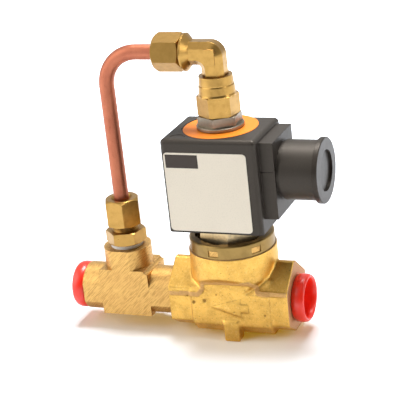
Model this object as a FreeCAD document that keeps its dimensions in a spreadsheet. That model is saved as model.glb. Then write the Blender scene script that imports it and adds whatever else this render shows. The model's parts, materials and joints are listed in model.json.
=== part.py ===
"""Automatic drain valve: a pilot-operated solenoid valve with an outside pilot line.

Millimetres, +Z up.  The origin is on the operator's axis at the height of the feet,
+X runs from the outlet side to the inlet side, and +Y runs to the back.
"""
import FreeCAD, Part
import math
import os
import Sketcher

PARALLEL = 1e-6
NEAR = 0.01
LEAST_CUT = 1e-3

doc = FreeCAD.newDocument("DrainValve")
sheet = doc.addObject("Spreadsheet::Sheet", "Sizes")

SIZES = {
    # valve body
    "port_height": (15.5, "port axis above the feet"),
    "body_half": (26.2, "half of the body's length"),
    "body_flats": (25.0, "across the front and back flats of the ends"),
    "ridge_height": (31.6, "top edge of the ends"),
    "ridge_half": (1.2, "half width of the flat along that edge"),
    "flat_high": (22.6, "upper edge of the front flat"),
    "flat_low": (7.6, "lower edge of the front flat"),
    "keel_half": (4.6, "half width of the flat under the ends"),
    "corner_ratio": (1.1547, "corners over flats of a hexagon"),
    "body_keel": (2.4, "height where the lower corner is cut off"),
    "cup_radius": (18.3, "outside of the cup that takes the bonnet"),
    "cup_height": (38.3, "height of the cup's rim"),
    "cup_bottom": (26.6, "height where the cup meets the lower body"),
    "waist_radius": (13.4, "lower end of the cup's taper, and the block's front"),
    "waist_height": (18.4, "height where the cup's taper ends"),
    "block_left": (-15.9, "outlet end of the block under the cup"),
    "block_right": (18.5, "inlet end of that block"),
    "block_high": (21.2, "upper edge of the block's front"),
    "block_top": (8.4, "half width of the block's top, inside the cup"),
    "block_low": (7.2, "lower edge of the block's front"),
    "block_base": (9.9, "half width of the block's underside"),
    "block_under": (2.8, "height of the block's underside"),
    "bar_round": (1.0, "rounding of the body's long edges"),
    "arrow_tip": (-6.7, "tip of the flow arrow along the port axis"),
    "arrow_back": (5.9, "back of the arrow's head"),
    "arrow_tail": (9.2, "end of the arrow's stem"),
    "arrow_middle": (15.2, "height of the arrow"),
    "arrow_head": (4.0, "half width of the arrow's head"),
    "arrow_stem": (1.7, "half width of the arrow's stem"),
    "arrow_proud": (0.4, "height of the arrow over the block's front"),
    "pad_half_length": (16.0, "underside pad, half length"),
    "pad_half_width": (5.0, "underside pad, half width"),
    "foot_centre": (1.1, "feet and pad along the port axis"),
    "foot_width": (6.8, "width of a foot"),
    "foot_outer": (14.3, "outer face of a foot from the middle"),
    "foot_inner": (8.4, "inner face of a foot from the middle"),
    "foot_top": (9.0, "top of a foot"),
    "thread_radius": (7.45, "wall of the three eighths pipe thread"),
    "port_depth": (10.4, "depth of a port"),
    "mouth_radius": (8.6, "plain mouth in front of a port's thread"),
    "mouth_depth": (4.2, "depth of that mouth"),
    "orifice": (11.1, "main orifice, seven sixteenths of an inch"),
    "seat_height": (22.0, "height of the main seat"),
    "seat_wall": (2.3, "wall of the seat's column"),
    "seat_lip": (0.8, "width of the raised seat edge"),
    "chamber_radius": (13.6, "upper chamber round the piston's cylinder"),
    "chamber_step": (23.9, "height where the chamber narrows"),
    "chamber_lower": (11.6, "inlet chamber round the seat"),
    "chamber_floor": (18.6, "floor of the inlet chamber"),
    "inlet_height": (20.2, "axis of the passage into the chamber"),
    "inlet_radius": (4.4, "radius of that passage"),
    "inlet_inner": (9.2, "inner end of that passage"),
    "outlet_height": (12.4, "axis of the passage out of the column"),
    "outlet_radius": (4.9, "radius of that passage"),
    "column_bottom": (7.2, "bottom of the bore under the seat"),
    "socket_radius": (16.0, "thread of the bonnet in the cup"),
    "socket_bottom": (31.0, "lower end of the bonnet's thread"),
    # bonnet
    "flange_step": (1.75, "step of the bonnet's ring over its thread"),
    "ring_top": (43.9, "top of the bonnet's ring"),
    "slot_width": (4.5, "width of a spanner slot"),
    "slot_bottom": (39.3, "height of a spanner slot's floor"),
    "slot_count": (6, "number of spanner slots"),
    "slot_turn": (23.4, "turn of the first spanner slot"),
    "ring_wall": (3.1, "wall of the bonnet's ring"),
    "recess_floor": (40.0, "floor of that recess"),
    "skirt_radius": (13.2, "outside of the piston's cylinder"),
    "skirt_bottom": (24.2, "lower end of the piston's cylinder"),
    "cylinder_radius": (11.08, "bore that guides the piston"),
    "cylinder_top": (34.6, "ceiling over the piston"),
    "spigot_radius": (8.0, "thread of the operator in the bonnet"),
    "spigot_bottom": (36.8, "lower end of that thread"),
    "nozzle_radius": (2.3, "pilot nozzle"),
    "nozzle_top": (38.4, "top of the pilot nozzle"),
    "pilot_radius": (0.9, "pilot orifice"),
    "groove_inner": (9.0, "inner radius of the operator seal's groove"),
    "groove_outer": (10.8, "outer radius of the operator seal's groove"),
    "groove_depth": (1.3, "depth of the operator seal's groove"),
    "bonnet_seal_height": (1.2, "height of the bonnet seal's groove"),
    # operator
    "base_flats": (24.0, "across the flats of the operator's base"),
    "base_turn": (13.5, "turn of the operator's hexagon"),
    "base_top": (49.2, "top of the operator's base"),
    "base_chamfer": (0.7, "chamfer of the operator's hexagon"),
    "tube_radius": (6.6, "outside of the operator's sleeve"),
    "guide_radius": (5.06, "bore that guides the plunger"),
    "sleeve_top": (89.9, "top of the plain sleeve"),
    "stem_radius": (6.0, "thread for the jam nut"),
    "stem_top": (94.7, "top of the jam nut's thread"),
    "stud_radius": (4.9, "thread for the vent adapter"),
    "stud_rise": (4.9, "length of the vent adapter's thread"),
    "core_bottom": (70.0, "lower face of the fixed core"),
    "core_top": (92.0, "upper face of the fixed core"),
    "vent_radius": (1.3, "vent passage"),
    # plunger
    "plunger_radius": (5.0, "outside of the plunger"),
    "plunger_bottom": (39.2, "lower face of the plunger"),
    "plunger_top": (68.3, "upper face of the plunger"),
    "plunger_bore": (2.7, "spring's pocket in the plunger"),
    "pocket_floor": (59.0, "floor of the spring's pocket"),
    "flute_depth": (0.9, "depth of the plunger's side flutes"),
    "flute_width": (2.4, "width of the plunger's side flutes"),
    "flute_count": (2, "number of the plunger's side flutes"),
    "pin_radius": (3.0, "plunger seal"),
    "pin_top": (41.4, "top of the plunger seal"),
    "stop_gap": (0.05, "gap left where two pieces meet at rest"),
    # piston
    "piston_radius": (11.0, "outside of the piston"),
    "piston_top": (31.4, "top of the piston"),
    "piston_bottom": (23.0, "underside of the piston"),
    "piston_bore": (8.0, "spring's pocket in the piston"),
    "piston_floor": (26.4, "floor of the spring's pocket"),
    "disc_radius": (7.4, "seat disc"),
    "disc_top": (24.4, "top of the seat disc"),
    "bleed_radius": (0.6, "bleed hole"),
    "bleed_offset": (9.3, "bleed hole from the axis"),
    "ring_low": (27.6, "lower side of the piston ring"),
    "ring_high": (29.8, "upper side of the piston ring"),
    "ring_root": (9.9, "inside of the piston ring"),
    "ring_face": (11.03, "outside of the piston ring"),
    # springs
    "piston_coil": (6.6, "mean radius of the piston spring"),
    "piston_wire": (0.45, "wire radius of the piston spring"),
    "piston_turns": (3.5, "turns of the piston spring"),
    "plunger_coil": (1.95, "mean radius of the plunger spring"),
    "plunger_wire": (0.3, "wire radius of the plunger spring"),
    "plunger_turns": (9, "turns of the plunger spring"),
    # coil
    "coil_length": (40.5, "coil case along X"),
    "coil_front": (17.2, "front face of the coil case from the axis"),
    "coil_back": (14.1, "back face of the coil case from the axis"),
    "coil_bottom": (49.6, "underside of the coil case"),
    "coil_top": (89.1, "top of the coil case"),
    "case_round": (1.9, "rounding of the coil case's edges"),
    "coil_bore": (6.95, "hole for the operator's sleeve"),
    "wing_reach": (26.0, "outer face of the side wing"),
    "wing_front": (13.5, "front face of the wing from the axis"),
    "wing_back": (10.9, "back face of the wing from the axis"),
    "wing_bottom": (55.4, "underside of the wing"),
    "wing_top": (87.2, "top of the wing"),
    "hub_height": (72.2, "axis of the conduit hub"),
    "hub_side": (1.3, "conduit hub's axis in front of the middle"),
    "hub_radius": (12.1, "outside of the conduit hub"),
    "hub_end": (41.0, "outer end of the conduit hub"),
    "hub_root": (11.3, "neck at the hub's root"),
    "hub_neck": (1.5, "width of that neck"),
    "hub_thread": (10.3, "wall of the hub's thread"),
    "hub_step": (26.0, "inner end of the hub's thread"),
    "hub_room": (9.4, "lead room behind the hub's thread"),
    "hub_floor": (21.0, "floor of the lead room"),
    "hub_mouth": (10.7, "plain mouth in front of the hub's thread"),
    "hub_mouth_depth": (6.4, "depth of that mouth"),
    "lead_radius": (0.9, "one insulated lead"),
    "lead_gap": (2.6, "leads from the hub's axis"),
    "lead_end": (25.6, "free end of the leads"),
    "label_left": (18.9, "left edge of the front label from the axis"),
    "label_right": (16.0, "right edge of the front label from the axis"),
    "label_low": (50.4, "lower edge of the front label"),
    "label_high": (83.7, "upper edge of the front label"),
    "label_round": (1.6, "corners of the front label"),
    "film": (0.15, "thickness of a label"),
    "disc_label": (15.3, "radius of the round label"),
    "washer_hole": (7.2, "hole of the round label"),
    "yoke_half": (17.4, "yoke's plates, half length"),
    "yoke_width": (10.0, "yoke's plates, half width"),
    "yoke_sheet": (2.2, "thickness of the yoke"),
    "yoke_low": (51.6, "underside of the yoke"),
    "yoke_high": (86.6, "top of the yoke"),
    "bobbin_wall": (1.1, "bobbin's tube"),
    "bobbin_flange": (12.7, "bobbin's flanges"),
    "bobbin_rim": (1.3, "thickness of a bobbin's flange"),
    "winding_radius": (12.2, "outside of the winding"),
    # cap
    "cap_radius": (13.25, "cap's flange"),
    "cap_flange": (2.2, "thickness of the cap's flange"),
    "cap_shank": (10.62, "cap's shank"),
    "cap_length": (5.6, "length of the cap's shank"),
    "cap_wall": (1.4, "wall of the cap's shank"),
    "cap_dish": (8.3, "round recess in the cap's face"),
    "cap_dish_depth": (1.1, "depth of that recess"),
    # top fittings
    "washer_radius": (9.7, "washer"),
    "washer_bore": (6.75, "hole of the washer"),
    "washer_low": (89.55, "underside of the washer"),
    "washer_high": (90.9, "top of the washer"),
    "jam_flats": (15.9, "across the flats of the jam nut"),
    "adapter_flats": (15.0, "across the flats of the vent adapter"),
    "adapter_hexagon": (8.4, "height of the adapter's lower hexagon"),
    "neck_low": (7.75, "adapter's turned neck at the shoulder"),
    "neck_high": (6.85, "adapter's turned neck at the top"),
    "neck_flare": (0.8, "flare of the neck into the shoulder"),
    "adapter_neck": (7.8, "height of the adapter's turned neck"),
    "adapter_socket": (5.0, "thread in the adapter's lower end"),
    "adapter_thread": (4.6, "thread in the adapter's upper end"),
    "adapter_depth": (6.6, "depth of the adapter's upper thread"),
    "adapter_groove": (0.25, "depth of the adapter's ring groove"),
    "neck_groove": (7.3, "radius of the neck at the ring groove"),
    "neck_trim": (0.2, "narrowing of the neck over a short step"),
    "adapter_mark": (4.2, "height of the ring groove above the hexagon"),
    "adapter_turn": (-6.6, "turn of the adapter's lower hexagon"),
    "jam_turn": (2.5, "turn of the jam nut"),
    "elbow_rise": (9.2, "axis of the pilot line's upper run above the adapter"),
    "elbow_half": (4.7, "half width of the elbow"),
    "elbow_corner": (6.0, "outer corner of the elbow"),
    "elbow_inner": (1.5, "inner corner of the elbow"),
    "elbow_edge": (2.4, "bevel of the elbow's long edges"),
    "elbow_end": (9.6, "end of the elbow's level leg"),
    "collar_radius": (7.7, "outside of the elbow's collar"),
    "collar_taper": (11.2, "start of the collar's taper from the axis"),
    "collar_face": (12.0, "face of the elbow's collar from the axis"),
    "pad_face": (2.2, "raised pad on the elbow, half side"),
    "pad_low": (4.2, "raised pad on the elbow, lower edge"),
    "pad_proud": (0.5, "raised pad on the elbow, height"),
    # compression joints
    "nut_flats": (13.8, "across the flats of a compression nut"),
    "nut_length": (12.1, "length of a compression nut"),
    "nut_slope": (0.8, "rise of a compression nut's chamfer over its depth"),
    "nut_cone": (1.0, "length of the cone that seats the ferrule"),
    "nut_dish_depth": (1.4, "depth of a compression nut's countersink"),
    "upper_turn": (-17, "turn of the upper nut"),
    "lower_turn": (23.4, "turn of the lower nut"),
    "connector_turn": (-12.6, "turn of the connector's hexagon"),
    "nut_chamfer": (1.4, "chamfer of a compression nut"),
    "nut_bevel": (1.6, "bevel at a compression nut's open end"),
    "nut_thread": (5.4, "thread of a compression nut"),
    "nut_cover": (3.0, "unthreaded end of a compression nut"),
    "nut_hole": (3.5, "hole of a compression nut"),
    "nut_dish": (4.6, "countersink of a compression nut"),
    "ferrule_length": (2.4, "length of a ferrule"),
    "ferrule_radius": (4.4, "outside of a ferrule"),
    "ferrule_taper": (0.8, "drop of a ferrule's cones"),
    "line_radius": (3.175, "quarter inch tube"),
    "line_bore": (2.4, "bore of the tube"),
    "line_bend": (14.5, "bend radius of the tube's axis"),
    "tube_socket": (3.25, "socket for the tube's end"),
    "socket_depth": (3.2, "depth of the tube's socket"),
    "nut_gap": (0.4, "thread left bare between a collar and its nut"),
    # connector and tee
    "branch_reach": (48.3, "axis of the tee's branch from the operator's axis"),
    "connector_flats": (15.0, "across the flats of the connector"),
    "connector_low": (37.1, "underside of the connector's hexagon"),
    "connector_high": (42.8, "top of the connector's hexagon"),
    "connector_thread": (6.0, "connector's thread in the tee"),
    "connector_root": (27.0, "lower end of the connector's thread"),
    "lower_nut": (44.8, "underside of the lower nut"),
    "tape_radius": (6.9, "outside of the thread tape"),
    "tee_reach": (67.6, "outlet end of the tee from the operator's axis"),
    "tee_radius": (10.15, "turned ends of the tee"),
    "tee_half": (9.3, "half thickness of the tee"),
    "tee_turned": (8.6, "turned length of the outlet end"),
    "shoulder_reach": (36.6, "end of the tee's thick middle from that axis"),
    "tee_bottom": (6.5, "underside of the tee's middle"),
    "branch_top": (35.6, "top of the tee's branch"),
    "branch_turned": (8.6, "turned length of the branch"),
    "tee_fillet": (1.4, "inner corners of the tee"),
    "spigot_reach": (18.4, "end of the tee's outside thread from that axis"),
    "tee_way": (5.4, "bore through the tee's spigot"),
    "tee_drill": (6.9, "bore behind the outlet's thread"),
    "drill_depth": (26.0, "depth of that bore from the outlet's face"),
    # common to several pieces
    "fit_gap": (0.05, "clearance of a screwed joint"),
    "tube_gap": (0.1, "clearance at a tube's end or beside a seal"),
    "over_cut": (1.0, "overlap of a cut or a pad past its face"),
    "edge_break": (0.5, "broken edge of a large turned piece"),
    "fine_break": (0.3, "broken edge of a small turned piece"),
    "thread_relief": (0.6, "clearance beyond the end of a thread"),
    "thread_bevel": (0.8, "bevel in front of an inside thread"),
    "bevel_slope": (0.577, "rise of a hexagon's bevel over its depth"),
    # plugs
    "plug_proud": (5.6, "length of a plug outside its port"),
    "plug_bulge": (10.1, "largest radius of a plug"),
    "plug_lip": (9.8, "radius of a plug's outer edge"),
    "plug_hole": (7.9, "hollow of a plug"),
    "plug_shank": (8.52, "shank of a plug"),
    "plug_depth": (3.6, "length of a plug's shank"),
    "plug_floor": (1.2, "thickness of a plug's end"),
    "plug_round": (1.3, "rounding of a plug's flange"),
    "plug_seat": (0.05, "gap between a plug and its port's face"),
}

for row, (alias, (number, note)) in enumerate(SIZES.items(), start=1):
    sheet.set(f"A{row}", note)
    sheet.set(f"B{row}", str(number))
    sheet.setAlias(f"B{row}", alias)
doc.recompute()


class Size:
    """A length that carries its number and the sheet expression it comes from."""

    def __init__(self, number, text):
        self.number = number
        self.text = text

    def __add__(self, other):
        other = size(other)
        return Size(self.number + other.number, f"({self.text} + {other.text})")

    def __sub__(self, other):
        other = size(other)
        return Size(self.number - other.number, f"({self.text} - {other.text})")

    def __mul__(self, other):
        other = size(other)
        return Size(self.number * other.number, f"({self.text} * {other.text})")

    def __truediv__(self, other):
        other = size(other)
        return Size(self.number / other.number, f"({self.text} / {other.text})")

    def __neg__(self):
        return Size(-self.number, f"(-1 * {self.text})")


def size(item):
    """A named size, a plain ratio or a Size, as a Size."""
    if isinstance(item, Size):
        return item
    if isinstance(item, str):
        return Size(float(sheet.get(item)), f"Sizes.{item}")
    return Size(float(item), str(item))


ZERO = Size(0.0, "0")


# helpers for sketches and features

def new_body(label):
    """An empty body whose label names its file."""
    body = doc.addObject("PartDesign::Body", label)
    body.Label = label
    return body


def new_sketch(body, role, offset=None):
    """A sketch on one of the body's own origin planes, moved along the plane's normal."""
    sketch = body.newObject("Sketcher::SketchObject", f"{body.Label}_sketch")
    plane = [item for item in body.Origin.OriginFeatures if item.Role == role][0]
    sketch.AttachmentSupport = [(plane, "")]
    sketch.MapMode = "FlatFace"
    if offset is not None:
        sketch.setExpression("AttachmentOffset.Base.z", offset.text)
    return sketch


def hold(sketch, kind, geometry, point, distance):
    """Bind one coordinate of a sketch point to its size."""
    if distance.text == "0":
        axis = -2 if kind == "DistanceX" else -1
        sketch.addConstraint(Sketcher.Constraint("PointOnObject", geometry, point, axis))
        return
    index = sketch.addConstraint(Sketcher.Constraint(kind, -1, 1, geometry, point, distance.number))
    sketch.setExpression(f"Constraints[{index}]", distance.text)


def outline(sketch, points):
    """A closed outline of straight lines through bound points."""
    first = sketch.GeometryCount
    spots = [FreeCAD.Vector(across.number, up.number, 0) for across, up in points]
    for start, end in zip(spots, spots[1:] + spots[:1]):
        sketch.addGeometry(Part.LineSegment(start, end), False)
    count = len(points)
    for index in range(count):
        following = first + (index + 1) % count
        sketch.addConstraint(Sketcher.Constraint("Coincident", first + index, 2, following, 1))
    for index, (across, up) in enumerate(points):
        hold(sketch, "DistanceX", first + index, 1, across)
        hold(sketch, "DistanceY", first + index, 1, up)


def box_points(left, low, right, high):
    """The corners of a rectangle."""
    return [(left, low), (right, low), (right, high), (left, high)]


def hexagon_points(flats, centre=ZERO):
    """A hexagon with flats at the left and right, centred above the sketch's origin."""
    half = flats / 2
    tall = half * size("corner_ratio")
    low = tall / 2
    return [(ZERO, centre + tall), (-half, centre + low), (-half, centre - low),
            (ZERO, centre - tall), (half, centre - low), (half, centre + low)]


def ring(sketch, across, up, radius):
    """A circle bound at its centre and radius."""
    centre = FreeCAD.Vector(across.number, up.number, 0)
    index = sketch.addGeometry(Part.Circle(centre, FreeCAD.Vector(0, 0, 1), radius.number), False)
    hold(sketch, "DistanceX", index, 3, across)
    hold(sketch, "DistanceY", index, 3, up)
    bound = sketch.addConstraint(Sketcher.Constraint("Radius", index, radius.number))
    sketch.setExpression(f"Constraints[{bound}]", radius.text)


def extrude(body, kind, sketch, length, middle=False, back=False):
    """A pad or pocket of a bound length."""
    feature = body.newObject(f"PartDesign::{kind}", f"{body.Label}_{kind.lower()}")
    feature.Profile = sketch
    feature.setExpression("Length", length.text)
    feature.Midplane = middle
    feature.Reversed = back
    sketch.Visibility = False
    return feature


def turn(body, kind, sketch, axis="V_Axis"):
    """A full revolution or groove about an axis of its sketch."""
    feature = body.newObject(f"PartDesign::{kind}", f"{body.Label}_{kind.lower()}")
    feature.Profile = sketch
    feature.ReferenceAxis = (sketch, [axis])
    feature.Angle = 360
    sketch.Visibility = False
    return feature


def turned(label, points):
    """A body of revolution about its own Z axis from (radius, height) points."""
    body = new_body(label)
    sketch = new_sketch(body, "XZ_Plane")
    outline(sketch, points)
    turn(body, "Revolution", sketch)
    return body


def turned_cut(body, points):
    """A groove about the body's Z axis from (radius, height) points."""
    sketch = new_sketch(body, "XZ_Plane")
    outline(sketch, points)
    return turn(body, "Groove", sketch)


def drilled(body, role, start, across, up, radius, length, back=False):
    """A round hole from a plane at a bound offset."""
    sketch = new_sketch(body, role, start)
    ring(sketch, across, up, radius)
    return extrude(body, "Pocket", sketch, length, back=back)


def hex_prism(body, low, high, flats):
    """A hexagonal pad along the body's Z axis."""
    sketch = new_sketch(body, "XY_Plane", low)
    outline(sketch, hexagon_points(flats))
    return extrude(body, "Pad", sketch, high - low)


def hex_bevel(body, level, flats, depth, upper=True, slope=None):
    """The turned bevel that takes a hexagon's corners off at one end."""
    corner = flats / 2 * size("corner_ratio")
    rise = depth * 2 * (slope or size("bevel_slope"))
    if upper:
        rise = -rise
    outside = corner + depth
    return turned_cut(body, [(corner - depth, level), (outside, level), (outside, level + rise)])


def around(body, feature, count):
    """Repeat a feature about the body's Z axis."""
    pattern = body.newObject("PartDesign::PolarPattern", f"{body.Label}_pattern")
    pattern.Originals = [feature]
    axis = [item for item in body.Origin.OriginFeatures if item.Role == "Z_Axis"][0]
    pattern.Axis = (axis, [""])
    pattern.Angle = 360
    pattern.setExpression("Occurrences", count.text)
    body.Tip = pattern
    return pattern


def edges_of(feature, test):
    """Names of a feature's edges that pass a test."""
    doc.recompute()
    return [f"Edge{index}" for index, edge in enumerate(feature.Shape.Edges, start=1) if test(edge)]


def dress(body, kind, base, names, amount):
    """A fillet or chamfer of a bound size."""
    feature = body.newObject(f"PartDesign::{kind}", f"{body.Label}_{kind.lower()}")
    feature.Base = (base, names)
    target = "Radius" if kind == "Fillet" else "Size"
    feature.setExpression(target, amount.text)
    body.Tip = feature
    return feature


def place(item, across=ZERO, along=ZERO, up=ZERO, axis=None, angle=None):
    """Turn a piece, then move it to its bound place."""
    if axis is not None:
        item.Placement = FreeCAD.Placement(FreeCAD.Vector(), FreeCAD.Rotation(axis, angle))
    for name, distance in (("x", across), ("y", along), ("z", up)):
        if distance.text != "0":
            item.setExpression(f"Placement.Base.{name}", distance.text)


def leaning(item, lean):
    """Turn a piece about its own Z axis by a bound angle."""
    item.Placement = FreeCAD.Placement(FreeCAD.Vector(), FreeCAD.Rotation(Z, 0))
    item.setExpression("Placement.Rotation.Angle", lean.text)


def near(number, target):
    """Whether a measured coordinate is at a size."""
    return abs(number - target.number) < NEAR


def flat_to(edge, direction):
    """Whether a straight edge runs along a direction."""
    if edge.Curve.TypeId != "Part::GeomLine":
        return False
    return abs(abs(edge.tangentAt(edge.FirstParameter).dot(direction)) - 1) < PARALLEL


def pair(label, first, second):
    """Two equal pieces that share one file."""
    both = doc.addObject("Part::Compound", label)
    first.Label = f"{label}_first"
    both.Label = label
    both.Links = [first, second]
    return both


X = FreeCAD.Vector(1, 0, 0)
Y = FreeCAD.Vector(0, 1, 0)
Z = FreeCAD.Vector(0, 0, 1)
pieces = []

port = size("port_height")
gap = size("fit_gap")
over = size("over_cut")
edge_break = size("edge_break")
fine = size("fine_break")
half = size("body_half")
bore = size("orifice") / 2
branch = -size("branch_reach")
tee_end = -size("tee_reach")

# valve body: hexagonal bar with a flat-fronted block, a cup on top and feet below

body = new_body("valve_body")
flats = size("body_flats")
side = flats / 2
sketch = new_sketch(body, "YZ_Plane")
outline(sketch, [(size("ridge_half"), size("ridge_height")), (-size("ridge_half"), size("ridge_height")),
                 (-side, size("flat_high")), (-side, size("flat_low")),
                 (-size("keel_half"), size("body_keel")), (size("keel_half"), size("body_keel")),
                 (side, size("flat_low")), (side, size("flat_high"))])
bar = extrude(body, "Pad", sketch, half * 2, middle=True)
dress(body, "Fillet", bar, edges_of(bar, lambda edge: flat_to(edge, X)), size("bar_round"))
front = size("waist_radius")
sketch = new_sketch(body, "YZ_Plane", size("block_left"))
outline(sketch, [(size("block_base"), size("block_under")),
                 (front, size("block_low")), (front, size("block_high")),
                 (size("block_top"), size("cup_bottom")), (-size("block_top"), size("cup_bottom")),
                 (-front, size("block_high")), (-front, size("block_low")),
                 (-size("block_base"), size("block_under"))])
extrude(body, "Pad", sketch, size("block_right") - size("block_left"))
sketch = new_sketch(body, "XZ_Plane")
outline(sketch, [(ZERO, size("waist_height")), (size("waist_radius"), size("waist_height")),
                 (size("cup_radius"), size("cup_bottom")),
                 (size("cup_radius"), size("cup_height")), (ZERO, size("cup_height"))])
turn(body, "Revolution", sketch)
sketch = new_sketch(body, "XY_Plane")
pad_middle = size("foot_centre")
outline(sketch, box_points(pad_middle - size("pad_half_length"), -size("pad_half_width"),
                           pad_middle + size("pad_half_length"), size("pad_half_width")))
extrude(body, "Pad", sketch, size("block_low"))
foot_left = size("foot_centre") - size("foot_width") / 2
foot_right = size("foot_centre") + size("foot_width") / 2
sketch = new_sketch(body, "XY_Plane")
outline(sketch, box_points(foot_left, -size("foot_outer"), foot_right, -size("foot_inner")))
outline(sketch, box_points(foot_left, size("foot_inner"), foot_right, size("foot_outer")))
extrude(body, "Pad", sketch, size("foot_top"))
arrow = size("arrow_middle")
sketch = new_sketch(body, "XZ_Plane", front - size("arrow_proud"))
stem_low = arrow - size("arrow_stem")
stem_high = arrow + size("arrow_stem")
outline(sketch, [(size("arrow_tip"), arrow), (size("arrow_back"), arrow - size("arrow_head")),
                 (size("arrow_back"), stem_low), (size("arrow_tail"), stem_low),
                 (size("arrow_tail"), stem_high), (size("arrow_back"), stem_high),
                 (size("arrow_back"), arrow + size("arrow_head"))])
extrude(body, "Pad", sketch, size("arrow_proud") * 2)
turned_cut(body, [(ZERO, size("socket_bottom")), (size("socket_radius"), size("socket_bottom")),
                  (size("socket_radius"), size("cup_height") + over), (ZERO, size("cup_height") + over)])
column = bore + size("seat_wall")
turned_cut(body, [(column, size("chamber_floor")), (size("chamber_lower"), size("chamber_floor")),
                  (size("chamber_lower"), size("chamber_step")),
                  (size("chamber_radius"), size("chamber_step")),
                  (size("chamber_radius"), size("socket_bottom") + over),
                  (ZERO, size("socket_bottom") + over),
                  (ZERO, size("seat_height")), (bore + size("seat_lip"), size("seat_height")),
                  (column, size("seat_height") - size("seat_wall") + size("seat_lip"))])
drilled(body, "XY_Plane", size("seat_height"), ZERO, ZERO, bore, size("seat_height") - size("column_bottom"))
for start, back in ((half, False), (-half, True)):
    drilled(body, "YZ_Plane", start, ZERO, port, size("thread_radius"), size("port_depth"), back=back)
drilled(body, "YZ_Plane", half, ZERO, port, size("mouth_radius"), size("mouth_depth"))
port_end = half - size("port_depth") + over
drilled(body, "YZ_Plane", port_end, ZERO, size("inlet_height"), size("inlet_radius"),
        port_end - size("inlet_inner"))
drilled(body, "YZ_Plane", -port_end, ZERO, size("outlet_height"), size("outlet_radius"), port_end, back=True)
pieces.append(body)

# bonnet: screwed ring with the piston's cylinder below and the pilot nozzle inside

socket = size("socket_radius") - gap
seal_top = size("socket_bottom") + size("bonnet_seal_height")
flange = socket + size("flange_step")
recess = flange - size("ring_wall")
body = turned("bonnet", [
    (size("skirt_radius"), size("skirt_bottom")), (size("skirt_radius"), seal_top),
    (socket, seal_top), (socket, size("cup_height")),
    (flange, size("cup_height")), (flange, size("ring_top") - edge_break),
    (flange - edge_break, size("ring_top")), (recess, size("ring_top")),
    (recess, size("recess_floor")), (size("groove_outer"), size("recess_floor")),
    (size("groove_outer"), size("recess_floor") - size("groove_depth")),
    (size("groove_inner"), size("recess_floor") - size("groove_depth")),
    (size("groove_inner"), size("recess_floor")), (size("spigot_radius") + gap, size("recess_floor")),
    (size("spigot_radius") + gap, size("spigot_bottom")), (size("nozzle_radius"), size("spigot_bottom")),
    (size("nozzle_radius"), size("nozzle_top") - size("thread_bevel")),
    (size("pilot_radius") + edge_break, size("nozzle_top")),
    (size("pilot_radius"), size("nozzle_top")), (size("pilot_radius"), size("cylinder_top")),
    (size("cylinder_radius"), size("cylinder_top")), (size("cylinder_radius"), size("skirt_bottom"))])
sketch = new_sketch(body, "XY_Plane", size("slot_bottom"))
outline(sketch, box_points(recess - over, -size("slot_width") / 2,
                           flange + over, size("slot_width") / 2))
slot = extrude(body, "Pocket", sketch, size("ring_top") - size("slot_bottom"), back=True)
around(body, slot, size("slot_count"))
leaning(body, size("slot_turn"))
pieces.append(body)

# seals of the bonnet and of the operator

seal_low = size("socket_bottom")
pieces.append(turned("bonnet_seal", box_points(size("chamber_radius") + size("tube_gap"), seal_low, socket,
                                               seal_top)))
seal_low = size("recess_floor") - size("groove_depth")
pieces.append(turned("operator_seal", box_points(size("groove_inner"), seal_low, size("groove_outer"),
                                                 size("recess_floor"))))

# operator: hexagonal base, plain sleeve and two threads, all one turned tube

stem = size("stem_top")
stud = stem + size("stud_rise")
base = size("base_top")
body = new_body("operator")
hex_prism(body, size("recess_floor"), base, size("base_flats"))
hex_bevel(body, base, size("base_flats"), size("base_chamfer"))
sketch = new_sketch(body, "XZ_Plane")
outline(sketch, [(ZERO, size("spigot_bottom")), (size("spigot_radius"), size("spigot_bottom")),
                 (size("spigot_radius"), base - over), (size("tube_radius"), base - over),
                 (size("tube_radius"), size("sleeve_top")), (size("stem_radius"), size("sleeve_top")),
                 (size("stem_radius"), stem), (size("stud_radius"), stem),
                 (size("stud_radius"), stud), (ZERO, stud)])
turn(body, "Revolution", sketch)
turned_cut(body, [(ZERO, size("spigot_bottom") - over), (size("guide_radius"), size("spigot_bottom") - over),
                  (size("guide_radius"), size("core_top")), (size("vent_radius"), size("core_top")),
                  (size("vent_radius"), stud + over), (ZERO, stud + over)])
leaning(body, size("base_turn"))
pieces.append(body)

pieces.append(turned("core", [
    (size("vent_radius"), size("core_bottom")), (size("guide_radius"), size("core_bottom")),
    (size("guide_radius"), size("core_top")), (size("vent_radius"), size("core_top"))]))

# plunger: drilled for its spring, fluted so that vent air passes along it

body = turned("plunger", [
    (ZERO, size("pin_top")), (size("pin_radius"), size("pin_top")),
    (size("pin_radius"), size("plunger_bottom")),
    (size("plunger_radius") - edge_break, size("plunger_bottom")),
    (size("plunger_radius"), size("plunger_bottom") + edge_break),
    (size("plunger_radius"), size("plunger_top")), (size("plunger_bore"), size("plunger_top")),
    (size("plunger_bore"), size("pocket_floor")), (ZERO, size("pocket_floor"))])
sketch = new_sketch(body, "XY_Plane", size("plunger_bottom"))
outline(sketch, box_points(size("plunger_radius") - size("flute_depth"), -size("flute_width") / 2,
                           size("plunger_radius") + over, size("flute_width") / 2))
flute = extrude(body, "Pocket", sketch, size("plunger_top") - size("plunger_bottom"), back=True)
around(body, flute, size("flute_count"))
pieces.append(body)

pin_low = size("nozzle_top") + size("stop_gap")
pieces.append(turned("plunger_seal", box_points(ZERO, pin_low, size("pin_radius"), size("pin_top"))))

# piston with its ring, seat disc and bleed hole

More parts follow.
